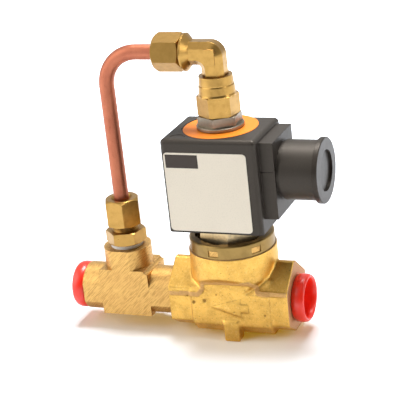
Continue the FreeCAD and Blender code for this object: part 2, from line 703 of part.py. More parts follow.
body = turned("piston", [
    (ZERO, size("disc_top")), (size("disc_radius"), size("disc_top")),
    (size("disc_radius"), size("piston_bottom")),
    (size("piston_radius") - edge_break, size("piston_bottom")),
    (size("piston_radius"), size("piston_bottom") + edge_break),
    (size("piston_radius"), size("ring_low")), (size("ring_root"), size("ring_low")),
    (size("ring_root"), size("ring_high")), (size("piston_radius"), size("ring_high")),
    (size("piston_radius"), size("piston_top")), (size("piston_bore"), size("piston_top")),
    (size("piston_bore"), size("piston_floor")), (ZERO, size("piston_floor"))])
drilled(body, "XY_Plane", size("piston_top"), ZERO, size("bleed_offset"), size("bleed_radius"),
        size("piston_top") - size("piston_bottom") + over)
pieces.append(body)

pieces.append(turned("piston_ring", box_points(size("ring_root"), size("ring_low"), size("ring_face"),
                                               size("ring_high"))))
disc_low = size("seat_height") + size("stop_gap")
pieces.append(turned("seat_disc", box_points(ZERO, disc_low, size("disc_radius"), size("disc_top"))))


# springs: round wire swept along a helix

def spring(label, low, high, coil, wire, turns):
    """A compression spring between two heights."""
    path = doc.addObject("Part::Helix", f"{label}_path")
    inner = high - low - wire * 2
    path.setExpression("Pitch", (inner / turns).text)
    path.setExpression("Height", inner.text)
    path.setExpression("Radius", coil.text)
    path.setExpression("Placement.Base.z", (low + wire).text)
    section = doc.addObject("Part::Circle", f"{label}_section")
    section.setExpression("Radius", wire.text)
    section.Placement = FreeCAD.Placement(FreeCAD.Vector(), FreeCAD.Rotation(X, 90))
    section.setExpression("Placement.Base.x", coil.text)
    section.setExpression("Placement.Base.z", (low + wire).text)
    sweep = doc.addObject("Part::Sweep", label)
    sweep.Label = label
    sweep.Sections = [section]
    sweep.Spine = path
    sweep.Solid = True
    sweep.Frenet = True
    return sweep


pieces.append(spring("piston_spring", size("piston_floor"), size("cylinder_top"),
                     size("piston_coil"), size("piston_wire"), size("piston_turns")))
pieces.append(spring("plunger_spring", size("pocket_floor"), size("core_bottom"),
                     size("plunger_coil"), size("plunger_wire"), size("plunger_turns")))

# coil: yoke, bobbin and winding inside a moulded case with a conduit hub

body = new_body("yoke")
sketch = new_sketch(body, "XZ_Plane")
outline(sketch, [
    (size("yoke_half"), size("yoke_low")), (size("yoke_half"), size("yoke_low") + size("yoke_sheet")),
    (-size("yoke_half") + size("yoke_sheet"), size("yoke_low") + size("yoke_sheet")),
    (-size("yoke_half") + size("yoke_sheet"), size("yoke_high") - size("yoke_sheet")),
    (size("yoke_half"), size("yoke_high") - size("yoke_sheet")), (size("yoke_half"), size("yoke_high")),
    (-size("yoke_half"), size("yoke_high")), (-size("yoke_half"), size("yoke_low"))])
extrude(body, "Pad", sketch, size("yoke_width") * 2, middle=True)
drilled(body, "XY_Plane", size("yoke_high"), ZERO, ZERO, size("coil_bore"),
        size("yoke_high") - size("yoke_low"))
pieces.append(body)

bobbin_low = size("yoke_low") + size("yoke_sheet")
bobbin_high = size("yoke_high") - size("yoke_sheet")
barrel = size("coil_bore") + size("bobbin_wall")
pieces.append(turned("bobbin", [
    (size("coil_bore"), bobbin_low), (size("bobbin_flange"), bobbin_low),
    (size("bobbin_flange"), bobbin_low + size("bobbin_rim")), (barrel, bobbin_low + size("bobbin_rim")),
    (barrel, bobbin_high - size("bobbin_rim")), (size("bobbin_flange"), bobbin_high - size("bobbin_rim")),
    (size("bobbin_flange"), bobbin_high), (size("coil_bore"), bobbin_high)]))
pieces.append(turned("winding", box_points(barrel, bobbin_low + size("bobbin_rim"), size("winding_radius"),
                                           bobbin_high - size("bobbin_rim"))))

body = new_body("coil_case")
coil_half = size("coil_length") / 2
sketch = new_sketch(body, "XY_Plane", size("coil_bottom"))
outline(sketch, box_points(-coil_half, -size("coil_front"), coil_half, size("coil_back")))
block = extrude(body, "Pad", sketch, size("coil_top") - size("coil_bottom"))
names = edges_of(block, lambda edge: flat_to(edge, Z) or near(edge.CenterOfMass.z, size("coil_top")))
dress(body, "Fillet", block, names, size("case_round"))
sketch = new_sketch(body, "XY_Plane", size("wing_bottom"))
outline(sketch, box_points(coil_half - size("case_round"), -size("wing_front"), size("wing_reach"),
                           size("wing_back")))
extrude(body, "Pad", sketch, size("wing_top") - size("wing_bottom"))
hub_y = -size("hub_side")
hub_z = size("hub_height")
sketch = new_sketch(body, "YZ_Plane", size("wing_reach") - over)
ring(sketch, hub_y, hub_z, size("hub_radius"))
extrude(body, "Pad", sketch, size("hub_end") - size("wing_reach") + over)
sketch = new_sketch(body, "YZ_Plane", size("wing_reach"))
ring(sketch, hub_y, hub_z, size("hub_radius") + over)
ring(sketch, hub_y, hub_z, size("hub_root"))
extrude(body, "Pocket", sketch, size("hub_neck"), back=True)
hub_face = size("hub_end")
drilled(body, "YZ_Plane", hub_face, hub_y, hub_z, size("hub_room"), hub_face - size("hub_floor"))
drilled(body, "YZ_Plane", hub_face, hub_y, hub_z, size("hub_thread"), hub_face - size("hub_step"))
drilled(body, "YZ_Plane", hub_face, hub_y, hub_z, size("hub_mouth"), size("hub_mouth_depth"))
drilled(body, "XY_Plane", size("coil_top"), ZERO, ZERO, size("coil_bore"),
        size("coil_top") - size("coil_bottom"))
turned_cut(body, box_points(ZERO, bobbin_low, size("bobbin_flange"), bobbin_high))
sketch = new_sketch(body, "XZ_Plane")
outline(sketch, box_points(-size("yoke_half"), size("yoke_low"), size("yoke_half"), bobbin_low))
outline(sketch, box_points(-size("yoke_half"), bobbin_high, size("yoke_half"), size("yoke_high")))
extrude(body, "Pocket", sketch, size("yoke_width") * 2, middle=True)
sketch = new_sketch(body, "XZ_Plane")
outline(sketch, box_points(-size("yoke_half"), bobbin_low,
                           -size("yoke_half") + size("yoke_sheet"), bobbin_high))
extrude(body, "Pocket", sketch, size("yoke_width") * 2, middle=True)
sketch = new_sketch(body, "YZ_Plane", size("winding_radius") - over)
ring(sketch, hub_y - size("lead_gap"), hub_z, size("lead_radius"))
ring(sketch, hub_y + size("lead_gap"), hub_z, size("lead_radius"))
extrude(body, "Pocket", sketch, size("hub_floor") - size("winding_radius") + over * 2, back=True)
pieces.append(body)



def lead(label, side):
    """One insulated lead from the winding into the hub."""
    item = new_body(label)
    outline_plane = new_sketch(item, "YZ_Plane", size("winding_radius"))
    ring(outline_plane, side, hub_z, size("lead_radius"))
    extrude(item, "Pad", outline_plane, size("lead_end") - size("winding_radius"))
    return item


front_lead = hub_y - size("lead_gap")
back_lead = hub_y + size("lead_gap")
pieces.append(pair("coil_leads", lead("lead", front_lead), lead("lead_mate", back_lead)))

# labels: bare films let onto the case

body = new_body("front_label")
sketch = new_sketch(body, "XZ_Plane", size("coil_front"))
outline(sketch, box_points(-size("label_left"), size("label_low"), size("label_right"), size("label_high")))
film = extrude(body, "Pad", sketch, size("film"))
dress(body, "Fillet", film, edges_of(film, lambda edge: flat_to(edge, Y)), size("label_round"))
pieces.append(body)

pieces.append(turned("top_label", box_points(size("washer_hole"), size("coil_top"), size("disc_label"),
                                             size("coil_top") + size("film"))))

# conduit cap: dished flange on a hollow shank

body = turned("conduit_cap", [
    (ZERO, -size("cap_flange")), (size("cap_shank") - size("cap_wall"), -size("cap_flange")),
    (size("cap_shank") - size("cap_wall"), -size("cap_length")), (size("cap_shank"), -size("cap_length")),
    (size("cap_shank"), gap), (size("cap_radius"), gap), (size("cap_radius"), size("cap_flange") - fine),
    (size("cap_radius") - fine, size("cap_flange")), (size("cap_dish"), size("cap_flange")),
    (size("cap_dish"), size("cap_flange") - size("cap_dish_depth")),
    (ZERO, size("cap_flange") - size("cap_dish_depth"))])
place(body, size("hub_end"), hub_y, hub_z, Y, 90)
pieces.append(body)

# washer, jam nut and vent adapter on the operator's top

pieces.append(turned("washer", [
    (size("washer_bore"), size("washer_low")), (size("washer_radius"), size("washer_low")),
    (size("washer_radius"), size("washer_high") - fine), (size("washer_radius") - fine, size("washer_high")),
    (size("washer_bore"), size("washer_high"))]))

body = new_body("jam_nut")
hex_prism(body, size("washer_high"), stem, size("jam_flats"))
hex_bevel(body, stem, size("jam_flats"), size("base_chamfer"))
drilled(body, "XY_Plane", stem, ZERO, ZERO, size("stem_radius") + gap, stem - size("washer_high"))
leaning(body, size("jam_turn"))
pieces.append(body)

shoulder = stem + size("adapter_hexagon")
top = shoulder + size("adapter_neck")
mark = shoulder + size("adapter_mark")
body = new_body("vent_adapter")
hex_prism(body, stem, shoulder, size("adapter_flats"))
hex_bevel(body, shoulder, size("adapter_flats"), size("base_chamfer"))
hex_bevel(body, stem, size("adapter_flats"), size("base_chamfer"), upper=False)
flare = size("neck_flare")
sketch = new_sketch(body, "XZ_Plane")
outline(sketch, [(ZERO, shoulder - flare), (size("neck_low"), shoulder - flare), (size("neck_low"), shoulder),
                 (size("neck_low") - size("neck_trim"), shoulder + flare),
                 (size("neck_groove"), mark - flare / 2),
                 (size("neck_groove") - size("adapter_groove"), mark),
                 (size("neck_groove") - size("neck_trim"), mark + flare / 2),
                 (size("neck_high"), top), (ZERO, top)])
turn(body, "Revolution", sketch)
thread = size("adapter_thread")
bevel = size("thread_bevel")
turned_cut(body, [(ZERO, stem - over), (size("adapter_socket"), stem - over),
                  (size("adapter_socket"), stud + fine), (size("vent_radius"), stud + fine),
                  (size("vent_radius"), top - size("adapter_depth")), (thread, top - size("adapter_depth")),
                  (thread, top - bevel), (thread + bevel, top), (thread + bevel, top + over),
                  (ZERO, top + over)])
leaning(body, size("adapter_turn"))
pieces.append(body)

# elbow: forged square legs with bevelled edges, a thread below and a collar at the side

line = top + size("elbow_rise")
body = new_body("elbow")
wide = size("elbow_half")
sketch = new_sketch(body, "XZ_Plane")
outline(sketch, [(-size("elbow_end"), line - wide), (-wide, line - wide), (-wide, top),
                 (wide, top), (wide, line + wide), (-size("elbow_end"), line + wide)])
legs = extrude(body, "Pad", sketch, wide * 2, middle=True)
outer = edges_of(legs, lambda edge: flat_to(edge, Y) and near(edge.CenterOfMass.x, wide)
                 and near(edge.CenterOfMass.z, line + wide))
corner = dress(body, "Fillet", legs, outer, size("elbow_corner"))
inner = edges_of(corner, lambda edge: flat_to(edge, Y) and near(edge.CenterOfMass.x, -wide)
                 and near(edge.CenterOfMass.z, line - wide))
corner = dress(body, "Fillet", corner, inner, size("elbow_inner"))
rims = edges_of(corner, lambda edge: near(abs(edge.CenterOfMass.y), wide)
                and not near(edge.CenterOfMass.z, top)
                and not near(edge.CenterOfMass.x, -size("elbow_end")))
dress(body, "Chamfer", corner, rims, size("elbow_edge"))
sketch = new_sketch(body, "XZ_Plane", wide)
outline(sketch, box_points(-size("pad_face"), line - size("pad_low"),
                           size("pad_face"), line + size("pad_face")))
extrude(body, "Pad", sketch, size("pad_proud"))
sketch = new_sketch(body, "XY_Plane", top)
ring(sketch, ZERO, ZERO, size("adapter_thread") - gap)
extrude(body, "Pad", sketch, size("adapter_depth") - size("thread_relief"), back=True)
collar = size("collar_face")
sketch = new_sketch(body, "XZ_Plane")
leg_end = over - size("elbow_end")
outline(sketch, [(-collar, line), (leg_end, line), (leg_end, line + wide),
                 (-size("collar_taper"), line + size("collar_radius")),
                 (-collar, line + size("collar_radius"))])
near_end = FreeCAD.Vector(leg_end.number, line.number, 0)
far_end = FreeCAD.Vector(-collar.number, line.number, 0)
spindle = sketch.addGeometry(Part.LineSegment(far_end, near_end), True)
sketch.addConstraint(Sketcher.Constraint("Coincident", spindle, 1, 0, 1))
sketch.addConstraint(Sketcher.Constraint("Coincident", spindle, 2, 1, 1))
turn(body, "Revolution", sketch, "Axis0")
sketch = new_sketch(body, "YZ_Plane", -collar)
ring(sketch, ZERO, line, size("nut_thread") - gap)
extrude(body, "Pad", sketch, size("nut_gap") + size("socket_depth"), back=True)
mouth = collar + size("nut_gap") + size("socket_depth")
drilled(body, "YZ_Plane", -mouth, ZERO, line, size("tube_socket"), size("socket_depth"), back=True)
drilled(body, "YZ_Plane", over - mouth, ZERO, line, size("line_bore"), mouth - over, back=True)
drilled(body, "XY_Plane", line, ZERO, ZERO, size("line_bore"), line - top + size("adapter_depth"))
pieces.append(body)

# connector: taper thread below, hexagon, and a compression end above

body = new_body("connector")
sketch = new_sketch(body, "XY_Plane", size("connector_low"))
outline(sketch, hexagon_points(size("connector_flats")))
sketch.setExpression("AttachmentOffset.Rotation.Angle", size("connector_turn").text)
extrude(body, "Pad", sketch, size("connector_high") - size("connector_low"))
hex_bevel(body, size("connector_high"), size("connector_flats"), size("base_chamfer"))
hex_bevel(body, size("connector_low"), size("connector_flats"), size("base_chamfer") * 2, upper=False)
end = size("lower_nut") + size("socket_depth")
sketch = new_sketch(body, "XZ_Plane")
outline(sketch, [(ZERO, size("connector_root")), (size("connector_thread") - fine, size("connector_root")),
                 (size("connector_thread"), size("connector_root") + over),
                 (size("connector_thread"), size("connector_high") - over),
                 (size("nut_thread") - gap, size("connector_high") - over), (size("nut_thread") - gap, end),
                 (ZERO, end)])
turn(body, "Revolution", sketch)
drilled(body, "XY_Plane", end, ZERO, ZERO, size("tube_socket"), size("socket_depth"))
drilled(body, "XY_Plane", end - over, ZERO, ZERO, size("line_bore"), end - size("connector_root"))
place(body, branch)
pieces.append(body)

body = turned("tape", [
    (size("connector_thread"), size("branch_top")), (size("tape_radius"), size("branch_top")),
    (size("tape_radius") - fine, size("connector_low") - fine),
    (size("connector_thread"), size("connector_low") - fine)])
place(body, branch)
pieces.append(body)


# compression nuts and ferrules at both ends of the line

def nut(label, lean):
    """A compression nut that opens downwards, with the tube's hole on top."""
    item = new_body(label)
    length = size("nut_length")
    deep = length - size("nut_cover")
    plan = new_sketch(item, "XY_Plane")
    outline(plan, hexagon_points(size("nut_flats")))
    plan.setExpression("AttachmentOffset.Rotation.Angle", lean.text)
    extrude(item, "Pad", plan, length)
    hex_bevel(item, length, size("nut_flats"), size("nut_chamfer"), slope=size("nut_slope"))
    hex_bevel(item, ZERO, size("nut_flats"), size("nut_bevel"), upper=False)
    turned_cut(item, [(ZERO, -over), (size("nut_thread"), -over), (size("nut_thread"), deep),
                      (size("nut_hole"), deep + size("nut_cone")),
                      (size("nut_hole"), length - size("nut_dish_depth")),
                      (size("nut_dish"), length), (size("nut_dish"), length + over), (ZERO, length + over)])
    return item


def ferrule(label):
    """A double cone that grips the tube."""
    long = size("ferrule_length")
    outside = size("ferrule_radius")
    ends = outside - size("ferrule_taper")
    return turned(label, [(size("line_radius"), ZERO), (ends, ZERO), (outside, long / 3),
                          (outside, long * 2 / 3), (ends, long), (size("line_radius"), long)])


lower = nut("lower_nut", size("lower_turn"))
place(lower, branch, ZERO, size("lower_nut"))
upper = nut("upper_nut", size("upper_turn"))
place(upper, -collar - size("nut_gap"), ZERO, line, Y, -90)
pieces.append(pair("tube_nuts", lower, upper))

lower = ferrule("ferrule_lower")
place(lower, branch, ZERO, end)
upper = ferrule("ferrule_upper")
place(upper, -mouth, ZERO, line, Y, -90)
pieces.append(pair("ferrules", lower, upper))

# copper line: one bend between the elbow's socket and the connector's socket

body = new_body("copper_line")
bend = size("line_bend")
run_end = -mouth + size("socket_depth") - size("tube_gap")
drop_end = end - size("socket_depth") + size("tube_gap")
path = new_sketch(body, "XZ_Plane")
corner_x = branch
start = FreeCAD.Vector(run_end.number, line.number, 0)
first = FreeCAD.Vector((corner_x + bend).number, line.number, 0)
last = FreeCAD.Vector(corner_x.number, (line - bend).number, 0)
finish = FreeCAD.Vector(corner_x.number, drop_end.number, 0)
centre = FreeCAD.Vector((corner_x + bend).number, (line - bend).number, 0)
circle = Part.Circle(centre, FreeCAD.Vector(0, 0, 1), bend.number)
level = path.addGeometry(Part.LineSegment(start, first), False)
quarter = path.addGeometry(Part.ArcOfCircle(circle, math.pi / 2, math.pi), False)
upright = path.addGeometry(Part.LineSegment(last, finish), False)
path.addConstraint(Sketcher.Constraint("Tangent", level, 2, quarter, 1))
path.addConstraint(Sketcher.Constraint("Tangent", quarter, 2, upright, 1))
hold(path, "DistanceX", level, 1, run_end)
hold(path, "DistanceY", level, 1, line)
hold(path, "DistanceX", quarter, 3, corner_x + bend)
hold(path, "DistanceY", quarter, 3, line - bend)
hold(path, "DistanceX", upright, 2, corner_x)
hold(path, "DistanceY", upright, 2, drop_end)
section = new_sketch(body, "YZ_Plane", run_end)
ring(section, ZERO, line, size("line_radius"))
ring(section, ZERO, line, size("line_bore"))
sweep = body.newObject("PartDesign::AdditivePipe", "copper_line_pipe")
sweep.Profile = section
sweep.Spine = path
pieces.append(body)

# tee: sawn from a profiled bar, with two ends turned round and one outside thread

body = new_body("tee")
radius = size("tee_radius")
face = -half
round_end = tee_end + size("tee_turned")
tee_shoulder = -size("shoulder_reach")
tee_spigot = -size("spigot_reach")
sketch = new_sketch(body, "XZ_Plane")
outline(sketch, [
    (tee_end, port - radius), (round_end, port - radius), (round_end, size("tee_bottom")),
    (tee_shoulder, size("tee_bottom")), (tee_shoulder, port - radius), (face, port - radius),
    (face, port + radius), (branch + radius, port + radius), (branch + radius, size("branch_top")),
    (branch - radius, size("branch_top")), (branch - radius, port + radius), (tee_end, port + radius)])
slab = extrude(body, "Pad", sketch, size("tee_half") * 2, middle=True)
inner = edges_of(slab, lambda edge: flat_to(edge, Y) and near(edge.CenterOfMass.z, port + radius)
                 and near(abs(edge.CenterOfMass.x - branch.number), radius))
dress(body, "Fillet", slab, inner, size("tee_fillet"))
beyond = radius * 2
for low, high in ((tee_end - over, round_end), (tee_shoulder, face + over)):
    sketch = new_sketch(body, "YZ_Plane", low)
    outline(sketch, box_points(-beyond, port - beyond, beyond, port + beyond))
    ring(sketch, ZERO, port, radius)
    extrude(body, "Pocket", sketch, high - low, back=True)
sketch = new_sketch(body, "XY_Plane", size("branch_top") + over)
outline(sketch, box_points(branch - beyond, -beyond, branch + beyond, beyond))
ring(sketch, branch, ZERO, radius)
extrude(body, "Pocket", sketch, size("branch_turned") + over)
sketch = new_sketch(body, "YZ_Plane", face)
ring(sketch, ZERO, port, size("thread_radius") - gap)
extrude(body, "Pad", sketch, tee_spigot - face)
drilled(body, "YZ_Plane", tee_end, ZERO, port, size("mouth_radius"), size("mouth_depth"), back=True)
drilled(body, "YZ_Plane", tee_end, ZERO, port, size("thread_radius"), size("port_depth"), back=True)
drilled(body, "YZ_Plane", tee_end + over, ZERO, port, size("tee_drill"), size("drill_depth") - over,
        back=True)
drilled(body, "YZ_Plane", tee_end + over, ZERO, port, size("tee_way"), tee_spigot - tee_end,
        back=True)
drilled(body, "XY_Plane", size("branch_top"), branch, ZERO, size("connector_thread") + gap,
        size("branch_top") - size("connector_root") + size("thread_relief"))
drilled(body, "XY_Plane", size("branch_top"), branch, ZERO, size("line_bore"), size("branch_top") - port)
pieces.append(body)


# plugs: soft hollow thread protectors, the same moulding at both ends

def plug(label):
    """A hollow plug, its flange at local height zero and its open side up."""
    proud = size("plug_proud")
    shank = size("plug_shank")
    low = -size("plug_depth")
    floor = low + size("plug_floor")
    item = turned(label, [
        (ZERO, low), (shank - edge_break, low), (shank, low + edge_break), (shank, size("plug_seat")),
        (size("plug_bulge"), size("plug_seat")), (size("plug_bulge"), proud / 2), (size("plug_lip"), proud),
        (size("plug_hole"), proud), (size("plug_hole"), floor), (ZERO, floor)])
    flange = item.Tip
    rims = edges_of(flange, lambda edge: edge.BoundBox.XLength > size("plug_shank").number * 2 + NEAR
                    and not near(edge.CenterOfMass.z, proud / 2))
    dress(item, "Fillet", flange, rims, size("plug_round"))
    return item


body = plug("inlet_plug")
place(body, half, ZERO, port, Y, 90)
pieces.append(body)
body = plug("outlet_plug")
place(body, tee_end, ZERO, port, Y, -90)
pieces.append(body)

# checks, then one file for each piece

doc.recompute()
for item in doc.Objects:
    if "Invalid" in item.State or "Error" in item.State:
        raise RuntimeError(f"{item.Label}: {item.State}")
    if item.TypeId in ("PartDesign::Pocket", "PartDesign::Groove"):
        if item.Shape.Volume > item.BaseFeature.Shape.Volume - LEAST_CUT:
            raise RuntimeError(f"{item.Label} of {item.getParentGeoFeatureGroup().Label} cuts nothing")
os.makedirs("parts", exist_ok=True)
for piece in pieces:
    shape = piece.Shape
    if shape.isNull() or not shape.isValid() or not shape.Solids:
        raise RuntimeError(f"{piece.Label} has no sound shape")
    shape.exportStep(f"parts/{piece.Label}.step")
    print(piece.Label, round(shape.Volume, 1), len(shape.Solids))
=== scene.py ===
"""Looks of the drain valve: finishes, the forging's skin, threads, mouldings, print, light and camera.

Metres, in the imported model's own frame: +Z up, +X towards the inlet, the photographed side faces -Y.
Lengths below are in millimetres, and MM turns them into metres where a mesh or a texture is made.
"""
import json
import math

import bpy
import numpy as np
from mathutils import Matrix, Vector


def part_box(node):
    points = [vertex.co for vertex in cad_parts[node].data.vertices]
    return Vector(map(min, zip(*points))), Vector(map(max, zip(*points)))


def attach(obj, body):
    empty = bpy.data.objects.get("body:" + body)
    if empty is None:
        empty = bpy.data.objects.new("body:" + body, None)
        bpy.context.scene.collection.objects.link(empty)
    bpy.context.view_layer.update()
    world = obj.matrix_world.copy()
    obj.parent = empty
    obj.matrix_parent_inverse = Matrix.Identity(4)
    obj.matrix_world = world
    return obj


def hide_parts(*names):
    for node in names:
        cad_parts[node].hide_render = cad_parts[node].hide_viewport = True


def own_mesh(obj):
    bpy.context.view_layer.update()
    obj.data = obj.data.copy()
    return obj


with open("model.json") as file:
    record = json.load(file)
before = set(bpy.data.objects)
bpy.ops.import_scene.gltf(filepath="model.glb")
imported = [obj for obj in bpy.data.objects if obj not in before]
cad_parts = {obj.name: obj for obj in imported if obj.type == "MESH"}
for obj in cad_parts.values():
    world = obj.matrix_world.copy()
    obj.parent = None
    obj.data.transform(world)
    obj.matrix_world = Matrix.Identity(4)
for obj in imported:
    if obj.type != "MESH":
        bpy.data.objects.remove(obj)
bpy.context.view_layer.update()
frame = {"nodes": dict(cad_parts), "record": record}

NODES = frame["nodes"]
MM = 0.001


def box(node):
    """A node's lowest and highest corners in millimetres."""
    low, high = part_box(node)
    return low / MM, high / MM


BODY_END = box("valve_body")[1].x
BODY_TOP = box("valve_body")[1].z
TEE_END = box("tee")[0].x
PORT_UP = sum(corner.z for corner in box("inlet_plug")) / 2
LINE_X = sum(corner.x for corner in box("tape")) / 2
NUT_LOW = box("tube_nuts")[0].z
RING_OUT = box("bonnet")[1].x
RING_TOP = box("bonnet")[1].z
CASE_TOP = box("coil_case")[1].z
LABEL_LOW, LABEL_HIGH = box("front_label")


# shader graphs

WHITE = (1.0, 1.0, 1.0, 1.0)


def grey(value):
    return (value, value, value, 1.0)


def colour(code):
    """A colour from its sRGB hex code, in the linear values that shaders take."""
    parts = [int(code[index:index + 2], 16) / 255 for index in (0, 2, 4)]
    return tuple(p / 12.92 if p <= 0.04045 else ((p + 0.055) / 1.055) ** 2.4 for p in parts) + (1.0,)


class Graph:
    """A node tree that is put together call by call."""

    def __init__(self, tree):
        self.tree = tree

    def feed(self, socket, value):
        if isinstance(value, bpy.types.NodeSocket):
            self.tree.links.new(value, socket)
        else:
            socket.default_value = value

    def add(self, kind, *values, settings=(), **inputs):
        """A new node: values feed its inputs in their order, and inputs feed them by name."""
        node = self.tree.nodes.new(kind)
        for name, value in dict(settings).items():
            setattr(node, name, value)
        for socket, value in zip(node.inputs, values):
            self.feed(socket, value)
        for name, value in inputs.items():
            self.feed(node.inputs[name.replace("_", " ")], value)
        return node

    def ramp(self, source, places, shades):
        """The colour between two shades as the source goes from one place to the other."""
        node = self.add("ShaderNodeValToRGB", Fac=source)
        for stem, place, shade in zip(node.color_ramp.elements, places, shades):
            stem.position = place
            stem.color = shade
        return node.outputs["Color"]

    def blend(self, mask, first, second):
        """The first colour where the mask is black, the second where it is white."""
        node = self.add("ShaderNodeMix", settings={"data_type": "RGBA"}, Factor=mask, A=first, B=second)
        return node.outputs["Result"]

    def choose(self, mask, first, second):
        """The first shader where the mask is black, the second where it is white."""
        return self.add("ShaderNodeMixShader", mask, first, second).outputs["Shader"]


class Finish(Graph):
    """A procedural finish on a Principled shader, with textures laid out in the object's own millimetres."""

    def __init__(self, name, base, metal, rough):
        self.material = bpy.data.materials.new(name)
        self.material.use_nodes = True
        super().__init__(self.material.node_tree)
        self.shader = self.tree.nodes["Principled BSDF"]
        self.set(Metallic=metal, Roughness=rough, Base_Color=colour(base))
        self.place = self.add("ShaderNodeTexCoord").outputs["Object"]
        self.relief = None

    def set(self, **values):
        for name, value in values.items():
            self.feed(self.shader.inputs[name.replace("_", " ")], value)

    def grain(self, size, detail=3.0, stretch=(1, 1, 1)):
        """Noise whose features are about size millimetres wide, longer where it is stretched."""
        scale = tuple(1 / (size * share * MM) for share in stretch)
        place = self.add("ShaderNodeMapping", Vector=self.place, Scale=scale).outputs["Vector"]
        noise = self.add("ShaderNodeTexNoise", Vector=place, Scale=1.0, Detail=detail, Roughness=0.55)
        return noise.outputs["Fac"]

    def stain(self, source, start, full, share, code):
        """Blend the base towards another colour, up to that share, as the source goes from start to full."""
        socket = self.shader.inputs["Base Color"]
        before = socket.links[0].from_socket if socket.links else tuple(socket.default_value)
        mask = self.ramp(source, (start, full), (grey(0.0), grey(share)))
        self.feed(socket, self.blend(mask, before, colour(code)))

    def gloss(self, mask, low, high):
        """Roughness from low to high as the mask goes from black to white."""
        spread = self.add("ShaderNodeMapRange", Value=mask, To_Min=low, To_Max=high)
        self.set(Roughness=spread.outputs["Result"])

    def bump(self, height, depth):
        """Relief of that many millimetres, on top of what was there before."""
        node = self.add("ShaderNodeBump", Height=height, Strength=1.0, Distance=depth * MM)
        if self.relief is not None:
            self.feed(node.inputs["Normal"], self.relief)
        self.relief = node.outputs["Normal"]
        self.set(Normal=self.relief)

    def soften(self, radius):
        """Rounded edges of that many millimetres, to be called before any bump."""
        node = self.add("ShaderNodeBevel", settings={"samples": 4}, Radius=radius * MM)
        self.relief = node.outputs["Normal"]
        self.set(Normal=self.relief)


# finishes

def forged_brass():
    """Blotched and speckled brass, with dirt and painted shade where the mesh says that it has a crease."""
    item = Finish("forged_brass", "DDAF58", 1.0, 0.46)
    blotch = item.grain(6.0, detail=4.0)
    item.stain(blotch, 0.4, 0.72, 0.6, "A98440")
    item.stain(item.grain(0.9), 0.5, 0.72, 0.5, "E6C274")
    item.stain(item.grain(0.55), 0.6, 0.72, 0.75, "84652F")
    # creases, seams and pits go dark brown: partly dirt, partly painted shade
    crease = item.add("ShaderNodeAttribute", settings={"attribute_name": "crease"}).outputs["Fac"]
    uneven = item.ramp(item.grain(1.6), (0.35, 0.65), (grey(0.25), WHITE))
    dirt_and_shade = item.add("ShaderNodeMath", crease, uneven, settings={"operation": "MULTIPLY"})
    item.stain(dirt_and_shade.outputs["Value"], 0.1, 0.9, 0.75, "6E4E26")
    item.gloss(blotch, 0.36, 0.52)
    item.bump(item.grain(1.1, detail=4.0), 0.05)
    item.bump(item.grain(0.35, detail=2.0), 0.015)
    return item.material


def rough_brass(name, base, stain, metal, rough):
    """Brass torn or cut along X, dull where it is less of a metal."""
    item = Finish(name, base, metal, rough)
    fibre = item.grain(0.35, stretch=(3, 1, 1))
    item.stain(fibre, 0.35, 0.7, 0.7, stain)
    item.bump(fibre, 0.03)
    return item.material


def turned_brass(name, base, stain):
    item = Finish(name, base, 1.0, 0.34)
    item.soften(0.15)
    blotch = item.grain(4.0, detail=4.0)
    item.stain(blotch, 0.45, 0.75, 0.5, stain)
    item.gloss(blotch, 0.26, 0.42)
    item.bump(item.grain(0.25, detail=2.0, stretch=(6, 6, 0.6)), 0.004)
    return item.material


def fitting_brass():
    item = Finish("fitting_brass", "A88346", 1.0, 0.3)
    item.soften(0.18)
    blotch = item.grain(2.6, detail=4.0)
    item.stain(blotch, 0.45, 0.75, 0.55, "866632")
    item.gloss(blotch, 0.22, 0.4)
    item.bump(item.grain(0.22, detail=2.0, stretch=(1, 1, 0.6)), 0.003)
    return item.material


def sawn_brass():
    """Bar stock with the marks of a saw that crossed it on a slope."""
    item = Finish("sawn_brass", "CDA460", 1.0, 0.42)
    item.soften(0.2)
    slope = (0, math.radians(45), 0)
    turned = item.add("ShaderNodeMapping", Vector=item.place, Rotation=slope, Scale=(1 / MM, 1 / MM, 1 / MM))
    drawn = item.add("ShaderNodeMapping", Vector=turned.outputs["Vector"], Scale=(0.26, 0.6, 3.4))
    drawn = drawn.outputs["Vector"]
    noise = item.add("ShaderNodeTexNoise", Vector=drawn, Scale=1.0, Detail=3.0, Roughness=0.6)
    marks = noise.outputs["Fac"]
    item.stain(marks, 0.46, 0.62, 0.7, "967040")
    item.stain(item.grain(7.0), 0.4, 0.7, 0.3, "B98E54")
    item.gloss(marks, 0.36, 0.5)
    item.bump(marks, 0.022)
    return item.material


def copper():
    item = Finish("drawn_copper", "AA684E", 1.0, 0.5)
    item.stain(item.grain(1.6, stretch=(4, 1, 4)), 0.4, 0.72, 0.5, "945240")
    item.stain(item.grain(0.9), 0.6, 0.75, 0.4, "7E4434")
    item.gloss(item.grain(2.5, detail=4.0), 0.44, 0.58)
    item.bump(item.grain(0.4, detail=2.0), 0.012)
    return item.material


def steel(name, base, low, high):
    """Plated metal whose roughness wanders between low and high."""
    item = Finish(name, base, 1.0, low)
    item.soften(0.15)
    item.gloss(item.grain(2.0, detail=4.0), low, high)
    item.stain(item.grain(1.2, detail=4.0), 0.45, 0.8, 0.5, "6E675E")
    item.bump(item.grain(0.3, detail=2.0, stretch=(4, 4, 0.7)), 0.006)
    return item.material


def plastic(name, base, low, high, fleck=None, relief=0.01, edge=0.25, coat=0.0):
    """Moulded plastic or film whose roughness wanders between low and high."""
    item = Finish(name, base, 0.0, low)
    item.soften(edge)
    item.gloss(item.grain(3.0), low, high)
    if fleck:
        item.stain(item.grain(0.6), 0.5, 0.8, 0.5, fleck)
    if coat:
        item.set(Coat_Weight=coat, Coat_Roughness=0.08)
    else:
        item.set(Specular_IOR_Level=0.4, Specular_Tint=colour("FFF0DE"))
    item.bump(item.grain(0.35, detail=2.0), relief)
    return item.material


